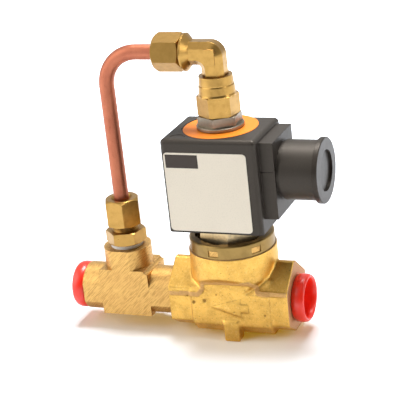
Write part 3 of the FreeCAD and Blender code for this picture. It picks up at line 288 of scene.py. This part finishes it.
def film(name, base, fleck, low=0.4, high=0.5):
    """Printed film: flat, with hardly an edge."""
    return plastic(name, base, low, high, fleck, relief=0.001, edge=0.05)


FINISHES = {
    "forging": forged_brass(),
    "fitting": fitting_brass(),
    "bar": turned_brass("turned_brass", "AE9260", "8A7042"),
    "tube_copper": copper(),
    "sleeve_steel": steel("nickel_steel", "CBB48A", 0.32, 0.46),
    "core_steel": steel("core_steel", "9A9A98", 0.3, 0.45),
    "hardware_steel": steel("zinc_steel", "8C8272", 0.32, 0.46),
    "yoke_steel": steel("yoke_steel", "62656A", 0.35, 0.5),
    "spring_steel": steel("spring_steel", "B8B8B6", 0.22, 0.34),
    "winding_wire": steel("winding_wire", "9C5A32", 0.25, 0.4),
    "bobbin_plastic": plastic("bobbin_plastic", "CFC8B4", 0.4, 0.55),
    "case_plastic": plastic("case_plastic", "2A2622", 0.42, 0.52, "35302B", relief=0.008, edge=0.35),
    "lead_plastic": plastic("lead_plastic", "A8322A", 0.35, 0.45),
    "cap_plastic": plastic("cap_plastic", "1A1512", 0.36, 0.46, "2E2A26", relief=0.004, edge=0.3),
    "front_film": film("front_film", "E6DDCC", "D2CCBC"),
    "top_film": film("top_film", "EE8420", "E67A1C"),
    "seal_rubber": plastic("seal_rubber", "1E1E1E", 0.55, 0.7),
    "seat_plastic": plastic("seat_plastic", "E4E0D4", 0.4, 0.5),
    "thread_tape": plastic("thread_tape", "ECECEA", 0.5, 0.65, "CFCFCB", relief=0.05, edge=0.1),
    "plug_plastic": plastic("plug_plastic", "F22E18", 0.3, 0.36, relief=0.002, edge=0.3, coat=0.12),
}
SAWN = sawn_brass()
# the bonnet ring's brass is darker than the bar's: painted shade for the dark coil that its top face
# reflects
RING_PAINTED_SHADE = turned_brass("ring_brass_painted_shade", "8E7444", "6E5830")
FLASH = rough_brass("flash_brass", "D8AA66", "B4884E", 0.3, 0.64)
MACHINED = rough_brass("cut_brass", "C69A6A", "A07850", 0.45, 0.6)
PRINT = film("print_black", "2E2725", "342C29", 0.42, 0.52)


def dress(node, material):
    for holder in NODES[node].material_slots:
        holder.material = material


for row in frame["record"]["subparts"]:
    dress(row["node"], FINISHES[row["material_slot"]])
dress("tee", SAWN)
# the bonnet takes the darker brass, which is painted shade
dress("bonnet", RING_PAINTED_SHADE)


# small builders

def piece(name, mesh, body, slot, materials=None, smooth=True):
    """A new object from a mesh, riding on a body, with the finish of its slot."""
    item = bpy.data.objects.new(name, mesh)
    bpy.context.scene.collection.objects.link(item)
    for material in materials or [FINISHES[slot]]:
        mesh.materials.append(material)
    mesh.polygons.foreach_set("use_smooth", [smooth] * len(mesh.polygons))
    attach(item, body)
    return item


def mesh_from(name, points, faces):
    """A mesh from points in millimetres."""
    mesh = bpy.data.meshes.new(name)
    mesh.from_pydata([tuple(Vector(point) * MM) for point in points], [], faces)
    mesh.validate()
    return mesh


def skin_over(name, rings, body, slot, **look):
    """A piece whose skin runs from ring to ring, each with as many points, and closes both ends."""
    size = len(rings[0])
    last = (len(rings) - 1) * size
    faces = [tuple(reversed(range(size))), tuple(range(last, last + size))]
    for low in range(0, last, size):
        high = low + size
        for index in range(size):
            after = (index + 1) % size
            faces.append((low + index, low + after, high + after, high + index))
    points = [point for ring in rings for point in ring]
    return piece(name, mesh_from(name, points, faces), body, slot, **look)


def spoke(axis, angle):
    """The direction square to an axis that stands at an angle round it."""
    side = axis.orthogonal().normalized()
    return side * math.cos(angle) + axis.cross(side) * math.sin(angle)


# forging: the body's own form with soft edges, a flared front, a flash band, an arrow, seams and pits

VOXEL = 0.36
# the skin starts this far from the machined end faces and rim, and is whole this much further on
SKIN_START = 0.5
SKIN_FADE = 0.8
# the cup's inside: radii at heights, with the steps of its bore
CUP_UP = (17.8, 23.6, 24.4, 30.6, 31.4, 40.0)
CUP_OUT = (12.5, 12.5, 15.2, 15.2, 17.1, 17.1)
# the ports' inside: a radius round their axis, from a distance off the operator's axis
PORT_OUT = 9.4
PORT_FROM = 5.0
# the middle: within this radius only what is lower than this height is outside
MIDDLE_OUT = 9.5
MIDDLE_UP = 5.0
SOFT_ROUNDS = 6
SOFT_SHARE = 0.8

# where the skin is above FLARE_SKIN, its front is flat and flares out to the cup between two heights
FLARE_SKIN = 0.5
FLARE_LOW = 25.6
FLARE_HIGH = 29.6
FLARE_IN = 13.4
FLARE_OUT = 18.3

# relief stands where the skin looks forwards or backwards, this far from the middle plane
SIDE_FROM = 9.0
SIDE_FACING = 0.25
SIDE_FADE = 0.3

# lines in x and z on the front, as the photo shows them
BAND = [(-27.0, 19.6), (-12.4, 20.4), (-11.0, 22.0), (-9.9, 25.6), (-8.7, 26.2),
        (11.0, 26.8), (12.3, 25.4), (13.5, 22.4), (15.0, 21.9), (27.0, 21.9)]
BAND_HALF = 0.95
BAND_RISE = 0.25
BAND_SLOPE = 0.25
ARROW = [(-6.7, 15.2), (5.9, 19.2), (5.9, 16.9), (9.2, 16.9), (9.2, 13.5), (5.9, 13.5), (5.9, 11.2)]
ARROW_RISE = 0.12
ARROW_SLOPE = 0.4
# both slopes start this far outside their line
SLOPE_START = 0.1
SEAMS = [[(-15.9, 7.0), (-15.9, 20.6)], [(18.5, 7.0), (18.5, 20.6)]]
# pits: x, z and radius; each fades out at PIT_REACH radii
PITS = [(-14.7, 16.6, 0.75), (-9.9, 17.5, 0.8), (-17.6, 19.0, 0.45),
        (3.0, 13.2, 0.4), (16.2, 12.4, 0.5), (-4.4, 20.6, 0.4)]
PIT_REACH = 1.4
PIT_DEPTH = 0.35
# how dark a pit gets: dirt and painted shade in the dent
PIT_DIRT_AND_SHADE = 1.9
# lines of dirt and painted shade: distance from their line, half width and darkness; each fades out at the
# reach below, in half widths
DIRT_AND_SHADE_REACH = 1.3
BAND_DIRT_AND_SHADE = (BAND_HALF + 0.2, 0.3, 0.6)
ARROW_DIRT_AND_SHADE = (-0.15, 0.35, 0.62)
SEAM_DIRT_AND_SHADE = (0.0, 0.35, 0.45)

# finishes by face: flash on what looks sideways, machined on what looks along X or up at the faces cut last
FLASH_FACING = 0.35
FLASH_END = 0.4
END_FACING = 0.9
END_DEPTH = 0.3
RIM_FACING = 0.8
RIM_DEPTH = 0.4


def smooth_step(value):
    value = np.clip(value, 0.0, 1.0)
    return value * value * (3 - 2 * value)


def distance_to_route(across, up, route, closed=False):
    """Distance of each point to a polyline, in the route's units."""
    best = np.full(across.shape, np.inf)
    ends = route[1:] + (route[:1] if closed else [])
    for (ax, az), (bx, bz) in zip(route, ends):
        dx, dz = bx - ax, bz - az
        share = np.clip(((across - ax) * dx + (up - az) * dz) / (dx * dx + dz * dz), 0, 1)
        best = np.minimum(best, np.hypot(across - ax - share * dx, up - az - share * dz))
    return best


def inside_route(across, up, route):
    """Which points lie inside a closed outline."""
    inside = np.zeros(across.shape, bool)
    for (ax, az), (bx, bz) in zip(route, route[1:] + route[:1]):
        crosses = (az > up) != (bz > up)
        slope = (bx - ax) / (bz - az) if bz != az else 0.0
        inside ^= crosses & (across < ax + (up - az) * slope)
    return inside


def vectors(rows, name):
    """One vector for each vertex or face of a mesh."""
    values = np.zeros(len(rows) * 3)
    rows.foreach_get(name, values)
    return values.reshape(-1, 3)


def in_voxels(node):
    """A node's form as a mesh of even voxel faces."""
    shell = bpy.data.objects.new("forging_source", NODES[node].data.copy())
    bpy.context.scene.collection.objects.link(shell)
    remesh = shell.modifiers.new("voxels", "REMESH")
    remesh.mode = "VOXEL"
    remesh.voxel_size = VOXEL * MM
    graph = bpy.context.evaluated_depsgraph_get()
    mesh = bpy.data.meshes.new_from_object(shell.evaluated_get(graph), depsgraph=graph)
    bpy.data.objects.remove(shell)
    mesh.materials.clear()
    return mesh


def forged_skin(spots):
    """How far each point belongs to the forging's outside, from 0 on machined and inner faces to 1."""
    x, y, z = spots.T
    centre = np.hypot(x, y)
    skin = smooth_step((BODY_END - SKIN_START - np.abs(x)) / SKIN_FADE)
    skin *= smooth_step((BODY_TOP - SKIN_START - z) / SKIN_FADE)
    skin[(centre < np.interp(z, CUP_UP, CUP_OUT)) & (z > CUP_UP[0])] = 0.0
    skin[(np.hypot(y, z - PORT_UP) < PORT_OUT) & (centre > PORT_FROM)] = 0.0
    skin[(centre < MIDDLE_OUT) & (z >= MIDDLE_UP)] = 0.0
    return skin


def flare_front(spots, skin):
    """Press the cup's foot back to a flat front that flares out under the cup."""
    y, z = spots[:, 1], spots[:, 2]
    front = np.interp(z, (FLARE_LOW, FLARE_HIGH), (-FLARE_IN, -FLARE_OUT))
    pressed = (y < front) & (z < FLARE_HIGH) & (z > CUP_UP[0]) & (skin > FLARE_SKIN)
    spots[pressed, 1] = front[pressed]


def soften_skin(mesh, spots, skin):
    """Draw each point of the skin towards its neighbours, a few times over."""
    edges = np.zeros(len(mesh.edges) * 2, np.int64)
    mesh.edges.foreach_get("vertices", edges)
    count = len(spots)
    neighbours = np.bincount(edges, minlength=count)[:, None]
    first, second = edges.reshape(-1, 2).T
    for _ in range(SOFT_ROUNDS):
        total = np.zeros_like(spots)
        for axis in range(3):
            total[:, axis] = np.bincount(first, spots[second, axis], count)
            total[:, axis] += np.bincount(second, spots[first, axis], count)
        spots += (total / np.maximum(neighbours, 1) - spots) * skin[:, None] * SOFT_SHARE


def dirt_and_shade_line(distance, line):
    """Dark along a line and clean away from it: dirt and painted shade in the crease."""
    away, half, darkness = line
    return darkness * smooth_step(DIRT_AND_SHADE_REACH - np.abs(distance - away) / half)


def relief(spots, normals, skin):
    """How far each point rises, and how much dirt and painted shade it takes."""
    x, y, z = spots.T
    side = smooth_step((np.abs(normals[:, 1]) - SIDE_FACING) / SIDE_FADE) * (np.abs(y) > SIDE_FROM) * skin
    front = side * (y < 0)
    band = distance_to_route(x, z, BAND)
    rise = BAND_RISE * smooth_step((BAND_HALF + SLOPE_START - band) / BAND_SLOPE) * side
    edge = distance_to_route(x, z, ARROW, closed=True)
    edge = np.where(inside_route(x, z, ARROW), edge, -edge)
    rise += ARROW_RISE * smooth_step((edge + SLOPE_START) / ARROW_SLOPE) * front
    dirt_and_shade = np.maximum(dirt_and_shade_line(edge, ARROW_DIRT_AND_SHADE) * front, dirt_and_shade_line(band, BAND_DIRT_AND_SHADE) * side)
    for seam in SEAMS:
        dirt_and_shade = np.maximum(dirt_and_shade, dirt_and_shade_line(distance_to_route(x, z, seam), SEAM_DIRT_AND_SHADE) * side)
    # pits sink, and darken with dirt and painted shade
    for across, up, radius in PITS:
        pit = smooth_step(PIT_REACH - np.hypot(x - across, z - up) / radius) * front
        rise -= PIT_DEPTH * pit
        dirt_and_shade = np.maximum(dirt_and_shade, PIT_DIRT_AND_SHADE * pit)
    return rise, dirt_and_shade


def face_finishes(mesh):
    """Which finish each face takes: 0 as forged, 1 the trimmed flash, 2 machined."""
    x, y, z = vectors(mesh.polygons, "center").T / MM
    along, sideways, up = vectors(mesh.polygons, "normal").T
    flash = (np.abs(sideways) > FLASH_FACING) & (np.abs(y) > SIDE_FROM) & (np.abs(x) < BODY_END - FLASH_END)
    flash &= distance_to_route(x, z, BAND) < BAND_HALF
    ends = (np.abs(along) > END_FACING) & (np.abs(x) > BODY_END - END_DEPTH)
    rim = (up > RIM_FACING) & (z > BODY_TOP - RIM_DEPTH)
    return np.where(ends | rim, 2, np.where(flash, 1, 0)).astype(np.int32)


def forging():
    mesh = in_voxels("valve_body")
    spots = vectors(mesh.vertices, "co") / MM
    skin = forged_skin(spots)
    flare_front(spots, skin)
    soften_skin(mesh, spots, skin)
    mesh.vertices.foreach_set("co", (spots * MM).ravel())
    mesh.update()
    normals = vectors(mesh.vertices, "normal")
    rise, dirt_and_shade = relief(spots, normals, skin)
    spots += normals * rise[:, None]
    mesh.vertices.foreach_set("co", (spots * MM).ravel())
    # the crease attribute carries dirt and painted shade into the forging's finish
    mesh.attributes.new("crease", "FLOAT", "POINT").data.foreach_set("value", dirt_and_shade)
    mesh.update()
    item = piece("forging", mesh, "valve", "forging", [FINISHES["forging"], FLASH, MACHINED])
    mesh.polygons.foreach_set("material_index", face_finishes(mesh))
    mesh.update()
    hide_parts("valve_body")


forging()


# threads that show in the open ports and in the gap above the connector

# a ridge's section: shares of its pitch along the axis and of its depth out from it
THREAD_FORM = [(-0.42, -0.05), (-0.06, 1.0), (0.06, 1.0), (0.42, -0.05)]
THREAD_STEPS = 40
THREAD_FADE_STEPS = 16
PORT_THREAD = {"radius": 7.5, "pitch": 1.41, "length": 6.0, "depth": -0.55}
PORT_THREAD_IN = 10.2
NUT_THREAD = {"radius": 5.3, "pitch": 1.0, "length": 3.4, "depth": 0.35}
NUT_THREAD_BELOW = 3.0


def thread(name, start, axis, slot, radius, pitch, length, depth):
    """A helical ridge on the valve from start along axis; a negative depth points inwards."""
    start, axis = Vector(start), Vector(axis)
    count = int(length / pitch * THREAD_STEPS)
    rings = []
    for index in range(count + 1):
        out = spoke(axis, 2 * math.pi * index / THREAD_STEPS)
        whole = min(1.0, index / THREAD_FADE_STEPS, (count - index) / THREAD_FADE_STEPS)
        along = pitch / 2 + (length - pitch) * index / count
        rings.append([start + axis * (along + shift * pitch) + out * (radius + rise * depth * whole)
                      for shift, rise in THREAD_FORM])
    skin_over(name, rings, "valve", slot, smooth=False)


thread("inlet_thread", (BODY_END - PORT_THREAD_IN, 0, PORT_UP), (1, 0, 0), "bar", **PORT_THREAD)
thread("outlet_thread", (TEE_END + PORT_THREAD_IN, 0, PORT_UP), (-1, 0, 0), "bar", **PORT_THREAD)
thread("connector_thread", (LINE_X, 0, NUT_LOW - NUT_THREAD_BELOW), (0, 0, 1), "fitting", **NUT_THREAD)


# bonnet: what closes each spanner slot, bright at the back below and flush with the ring above; the ring's
# darker brass is painted shade

EDGE_BREAK = 0.5
SLOT_TURN = 23.4
SLOT_COUNT = 6
SLOT_HALF = 2.24
SLOT_STEPS = 6
SLOT_IN = RING_OUT - 2.4
BACK_WALL = (SLOT_IN, RING_OUT - 0.4)
BACK_RISE = (RING_TOP - 4.65, RING_TOP - 1.8)
LID_WALL = (SLOT_IN, RING_OUT - 0.03)
LID_RISE = (RING_TOP - 2.0, RING_TOP - 0.02)


def slot_wall(name, turn, wall, rise, material):
    """A curved wall across a slot between two radii and two heights, its upper outer edge broken."""
    inner, outer = wall
    low, high = rise
    broken = [(outer - EDGE_BREAK, high), (outer, high - EDGE_BREAK)]
    section = [(inner, high)] + broken + [(outer, low), (inner, low)]
    place = Matrix.Rotation(math.radians(turn), 3, "Z")
    rings = []
    for index in range(SLOT_STEPS + 1):
        across = SLOT_HALF * (2 * index / SLOT_STEPS - 1)
        rings.append([place @ Vector((math.sqrt(radius ** 2 - across ** 2), across, up))
                      for radius, up in section])
    skin_over(name, rings, "valve", "bar", materials=[material], smooth=False)


for index in range(SLOT_COUNT):
    turn = SLOT_TURN + 360 * index / SLOT_COUNT
    slot_wall(f"slot_back_{index + 1}", turn, BACK_WALL, BACK_RISE, SAWN)
    # the lids take the ring's darker brass, which is painted shade
    slot_wall(f"slot_lid_{index + 1}", turn, LID_WALL, LID_RISE, RING_PAINTED_SHADE)


# springs: each rides on the valve as a rigid copy of its own solid

def spring(node):
    """The spring's own solid, held by the valve, for the rigid one."""
    mesh = NODES[node].data.copy()
    mesh.materials.clear()
    item = piece(node + "_wire", mesh, "valve", "spring_steel")
    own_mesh(item)
    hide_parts(node)


for joint in frame["record"]["behaviour"]["joints"]:
    for row in joint.get("deforming_nodes") or ():
        spring(row["node"])


# plugs: turned mouldings with a soft round flange and a hollow

# (radius, distance out of the port) points, and a flange that is half round between shank and hollow
SHANK = [(8.1, -3.6), (8.45, -3.4), (8.5, -3.1), (8.5, 0.02)]
HOLLOW = [(7.9, 1.6), (7.9, -2.1), (7.6, -2.4)]
FLANGE_MIDDLE = (8.98, 2.85)
FLANGE_HALF = (1.1, 2.7)
FLANGE_TURNS = range(-84, 181, 12)
LATHE_STEPS = 96


def plug(node, start, axis):
    """A plug's moulding, in place of its plainer solid."""
    start, axis = Vector(start), Vector(axis)
    profile = list(SHANK)
    for turn in FLANGE_TURNS:
        angle = math.radians(turn)
        profile.append((FLANGE_MIDDLE[0] + FLANGE_HALF[0] * math.cos(angle),
                        FLANGE_MIDDLE[1] + FLANGE_HALF[1] * math.sin(angle)))
    profile += HOLLOW
    spokes = [spoke(axis, 2 * math.pi * index / LATHE_STEPS) for index in range(LATHE_STEPS)]
    rings = [[start + axis * along + out * radius for out in spokes] for radius, along in profile]
    item = skin_over(node + "_moulding", rings, node, "plug_plastic")
    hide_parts(node)


plug("inlet_plug", (BODY_END, 0, PORT_UP), (1, 0, 0))
plug("outlet_plug", (TEE_END, 0, PORT_UP), (-1, 0, 0))


# print and moulded lines on the coil

BLOCK_SIZE = (13.85, 5.6)
BLOCK_INSET = (0.7, 0.8)
BLOCK_CORNER = 0.15
BLOCK_CORNER_STEPS = 5
BLOCK_THICK = 0.03


def label_block():
    """The label's plain dark block: a thin plate with round corners and a broken front edge."""
    width, height = BLOCK_SIZE
    middle_x = LABEL_LOW.x + BLOCK_INSET[0] + width / 2
    middle_z = LABEL_HIGH.z - BLOCK_INSET[1] - height / 2
    outline = []
    for right, top, first in ((1, -1, -90), (1, 1, 0), (-1, 1, 90), (-1, -1, 180)):
        for index in range(BLOCK_CORNER_STEPS + 1):
            angle = math.radians(first + 90 * index / BLOCK_CORNER_STEPS)
            outline.append((right * (width / 2 - BLOCK_CORNER) + BLOCK_CORNER * math.cos(angle),
                            top * (height / 2 - BLOCK_CORNER) + BLOCK_CORNER * math.sin(angle)))
    layers = [(0.0, 1.0), (0.7 * BLOCK_THICK, 1.0), (BLOCK_THICK, 1.0 - BLOCK_THICK / height)]
    rings = []
    for rise, share in layers:
        depth = LABEL_LOW.y - rise
        rings.append([(middle_x + across * share, depth, middle_z + up * share) for across, up in outline])
    skin_over("label_block", rings, "coil", "front_film", materials=[PRINT], smooth=False)


label_block()

# a ridge's section: shares of its width across the route and of its height off the surface
RIDGE_FORM = [(-0.5, -0.2), (-0.38, 0.75), (-0.15, 1.0), (0.15, 1.0), (0.38, 0.75), (0.5, -0.2)]
ARC_STEPS = 24


def ridge(name, route, width, height):
    """A low rounded ridge on the coil's case along a route of (point, normal) pairs."""
    spots = [Vector(spot) for spot, normal in route]
    rings = []
    for index, (spot, normal) in enumerate(route):
        normal = Vector(normal)
        along = spots[min(index + 1, len(spots) - 1)] - spots[max(index - 1, 0)]
        across = along.cross(normal).normalized()
        rings.append([spots[index] + across * shift * width + normal * rise * height
                      for shift, rise in RIDGE_FORM])
    skin_over(name, rings, "coil", "case_plastic")


def ridge_on_top(name, centre, radius, first, last, width, height):
    """A ridge on the case's top along an arc."""
    route = []
    for index in range(ARC_STEPS + 1):
        angle = math.radians(first + (last - first) * index / ARC_STEPS)
        spot = (centre[0] + radius * math.cos(angle), centre[1] + radius * math.sin(angle), CASE_TOP)
        route.append((spot, (0, 0, 1)))
    ridge(name, route, width, height)


# the parting line crosses the wing's front and turns round its rounded edge
WING_FRONT = -13.5
WING_END = 26.0
PARTING_UP = 75.1
FRONT_RUN = (20.3, 25.6)
END_RUN = (-13.2, -12.8)
MOULD_ROUTE = [((x, WING_FRONT, PARTING_UP), (0, -1, 0)) for x in FRONT_RUN]
MOULD_ROUTE += [((WING_END, y, PARTING_UP), (1, 0, 0)) for y in END_RUN]
ridge("mould_line", MOULD_ROUTE, width=0.28, height=0.07)
ridge_on_top("label_guard", (0.0, 0.0), radius=15.9, first=118, last=196, width=0.5, height=0.25)
ridge_on_top("corner_mark", (-13.6, -14.2), radius=3.2, first=20, last=160, width=0.4, height=0.15)


# light, in metres

CARD_TARGET = (-0.01, 0.0, 0.06)
ROOM_DIM_SIDE = Vector((0.55, -0.8, 0.22)).normalized()
ROOM_FADE = (0.35, 0.85)
ROOM_DIM = (0.10, 0.095, 0.09, 1.0)
ROOM_SHARE = 0.3


def card(name, centre, size, power):
    """A soft box that looks at the object."""
    lamp = bpy.data.lights.new(name, "AREA")
    lamp.shape = "RECTANGLE"
    lamp.size, lamp.size_y = size
    lamp.energy = power
    item = bpy.data.objects.new(name, lamp)
    item.location = centre
    item.rotation_euler = (Vector(CARD_TARGET) - Vector(centre)).to_track_quat("-Z", "Y").to_euler()
    bpy.context.scene.collection.objects.link(item)


def studio():
    """White to the camera; to everything else a bright room with a dim side behind the camera."""
    world = bpy.data.worlds.new("studio")
    bpy.context.scene.world = world
    world.use_nodes = True
    world.node_tree.nodes.clear()
    graph = Graph(world.node_tree)
    place = graph.add("ShaderNodeTexCoord").outputs["Generated"]
    side = graph.add("ShaderNodeVectorMath", place, ROOM_DIM_SIDE, settings={"operation": "DOT_PRODUCT"})
    tone = graph.ramp(side.outputs["Value"], ROOM_FADE, (grey(0.8), ROOM_DIM))
    path = graph.add("ShaderNodeLightPath")
    share = graph.add("ShaderNodeMapRange", Value=path.outputs["Is Glossy Ray"], To_Min=ROOM_SHARE)
    room = graph.add("ShaderNodeBackground", Color=tone, Strength=share.outputs["Result"])
    white = graph.add("ShaderNodeBackground", Color=WHITE)
    seen = graph.choose(path.outputs["Is Camera Ray"], room.outputs[0], white.outputs[0])
    graph.add("ShaderNodeOutputWorld", Surface=seen)


card("top_box", (0.02, 0.2, 0.95), (0.45, 0.35), 15.0)
card("left_box", (-0.75, -0.45, 0.5), (0.85, 0.9), 6.2)
card("right_box", (0.75, -0.1, 0.45), (0.12, 0.7), 2.2)
studio()


# floor, in metres: it reads as white and keeps a warm shadow near the object

FLOOR_REACH = 4.0
FLOOR_DROP = 0.05 * MM
FLOOR_PLAIN = grey(0.8)
FLOOR_LIT = (0.78, 0.84, 0.93, 1.0)
FLOOR_SHADE = (0.20, 0.11, 0.0, 1.0)
FLOOR_NEAR = 0.12
FLOOR_FAR = 0.3


def floor_material():
    """Lit and glowing to the camera and in reflections, plain to every other ray."""
    material = bpy.data.materials.new("floor")
    material.use_nodes = True
    material.node_tree.nodes.clear()
    graph = Graph(material.node_tree)
    place = graph.add("ShaderNodeTexCoord").outputs["Object"]
    distance = graph.add("ShaderNodeVectorMath", place, settings={"operation": "LENGTH"}).outputs["Value"]
    far = graph.add("ShaderNodeMapRange", Value=distance, From_Min=FLOOR_NEAR, From_Max=FLOOR_FAR)
    glow = graph.add("ShaderNodeEmission", Color=graph.blend(far.outputs["Result"], FLOOR_SHADE, WHITE))
    lit = graph.add("ShaderNodeBsdfDiffuse", Color=FLOOR_LIT)
    both = graph.add("ShaderNodeAddShader", lit.outputs[0], glow.outputs[0])
    plain = graph.add("ShaderNodeBsdfDiffuse", Color=FLOOR_PLAIN)
    path = graph.add("ShaderNodeLightPath")
    seen = graph.add("ShaderNodeMath", path.outputs["Is Camera Ray"], path.outputs["Is Glossy Ray"],
                     settings={"operation": "MAXIMUM"})
    shader = graph.choose(seen.outputs["Value"], plain.outputs[0], both.outputs[0])
    graph.add("ShaderNodeOutputMaterial", Surface=shader)
    return material


def floor():
    reach = FLOOR_REACH / MM
    corners = [(-reach, -reach, 0), (reach, -reach, 0), (reach, reach, 0), (-reach, reach, 0)]
    mesh = mesh_from("floor", corners, [(0, 1, 2, 3)])
    item = bpy.data.objects.new("floor", mesh)
    bpy.context.scene.collection.objects.link(item)
    item.location.z = -FLOOR_DROP
    mesh.materials.append(floor_material())


floor()


# camera, as the photo was taken

CAMERA_TURN = math.radians(23.412)
CAMERA_RISE = math.radians(20.525)
CAMERA_ROLL = math.radians(-6.355)
CAMERA_TARGET = Vector((-12.581, 0.0, 56.956)) * MM
CAMERA_DISTANCE = 590.876 * MM
CAMERA_LENS = 129.03
CAMERA_SENSOR = 36.0
CAMERA_CLIP = 0.01


def photo_camera():
    level = math.cos(CAMERA_RISE)
    forward = Vector((-math.sin(CAMERA_TURN) * level, math.cos(CAMERA_TURN) * level, -math.sin(CAMERA_RISE)))
    right = Vector((math.cos(CAMERA_TURN), math.sin(CAMERA_TURN), 0.0))
    up = right.cross(forward)
    rolled_right = right * math.cos(CAMERA_ROLL) + up * math.sin(CAMERA_ROLL)
    rolled_up = up * math.cos(CAMERA_ROLL) - right * math.sin(CAMERA_ROLL)
    camera = bpy.data.cameras.new("camera")
    camera.lens = CAMERA_LENS
    camera.sensor_width = CAMERA_SENSOR
    camera.clip_start = CAMERA_CLIP
    item = bpy.data.objects.new("camera", camera)
    turn = Matrix((rolled_right, rolled_up, -forward)).transposed().to_4x4()
    item.matrix_world = Matrix.Translation(CAMERA_TARGET - forward * CAMERA_DISTANCE) @ turn
    bpy.context.scene.collection.objects.link(item)
    bpy.context.scene.camera = item


photo_camera()
bpy.context.scene.view_settings.view_transform = "Standard"

bpy.context.view_layer.update()
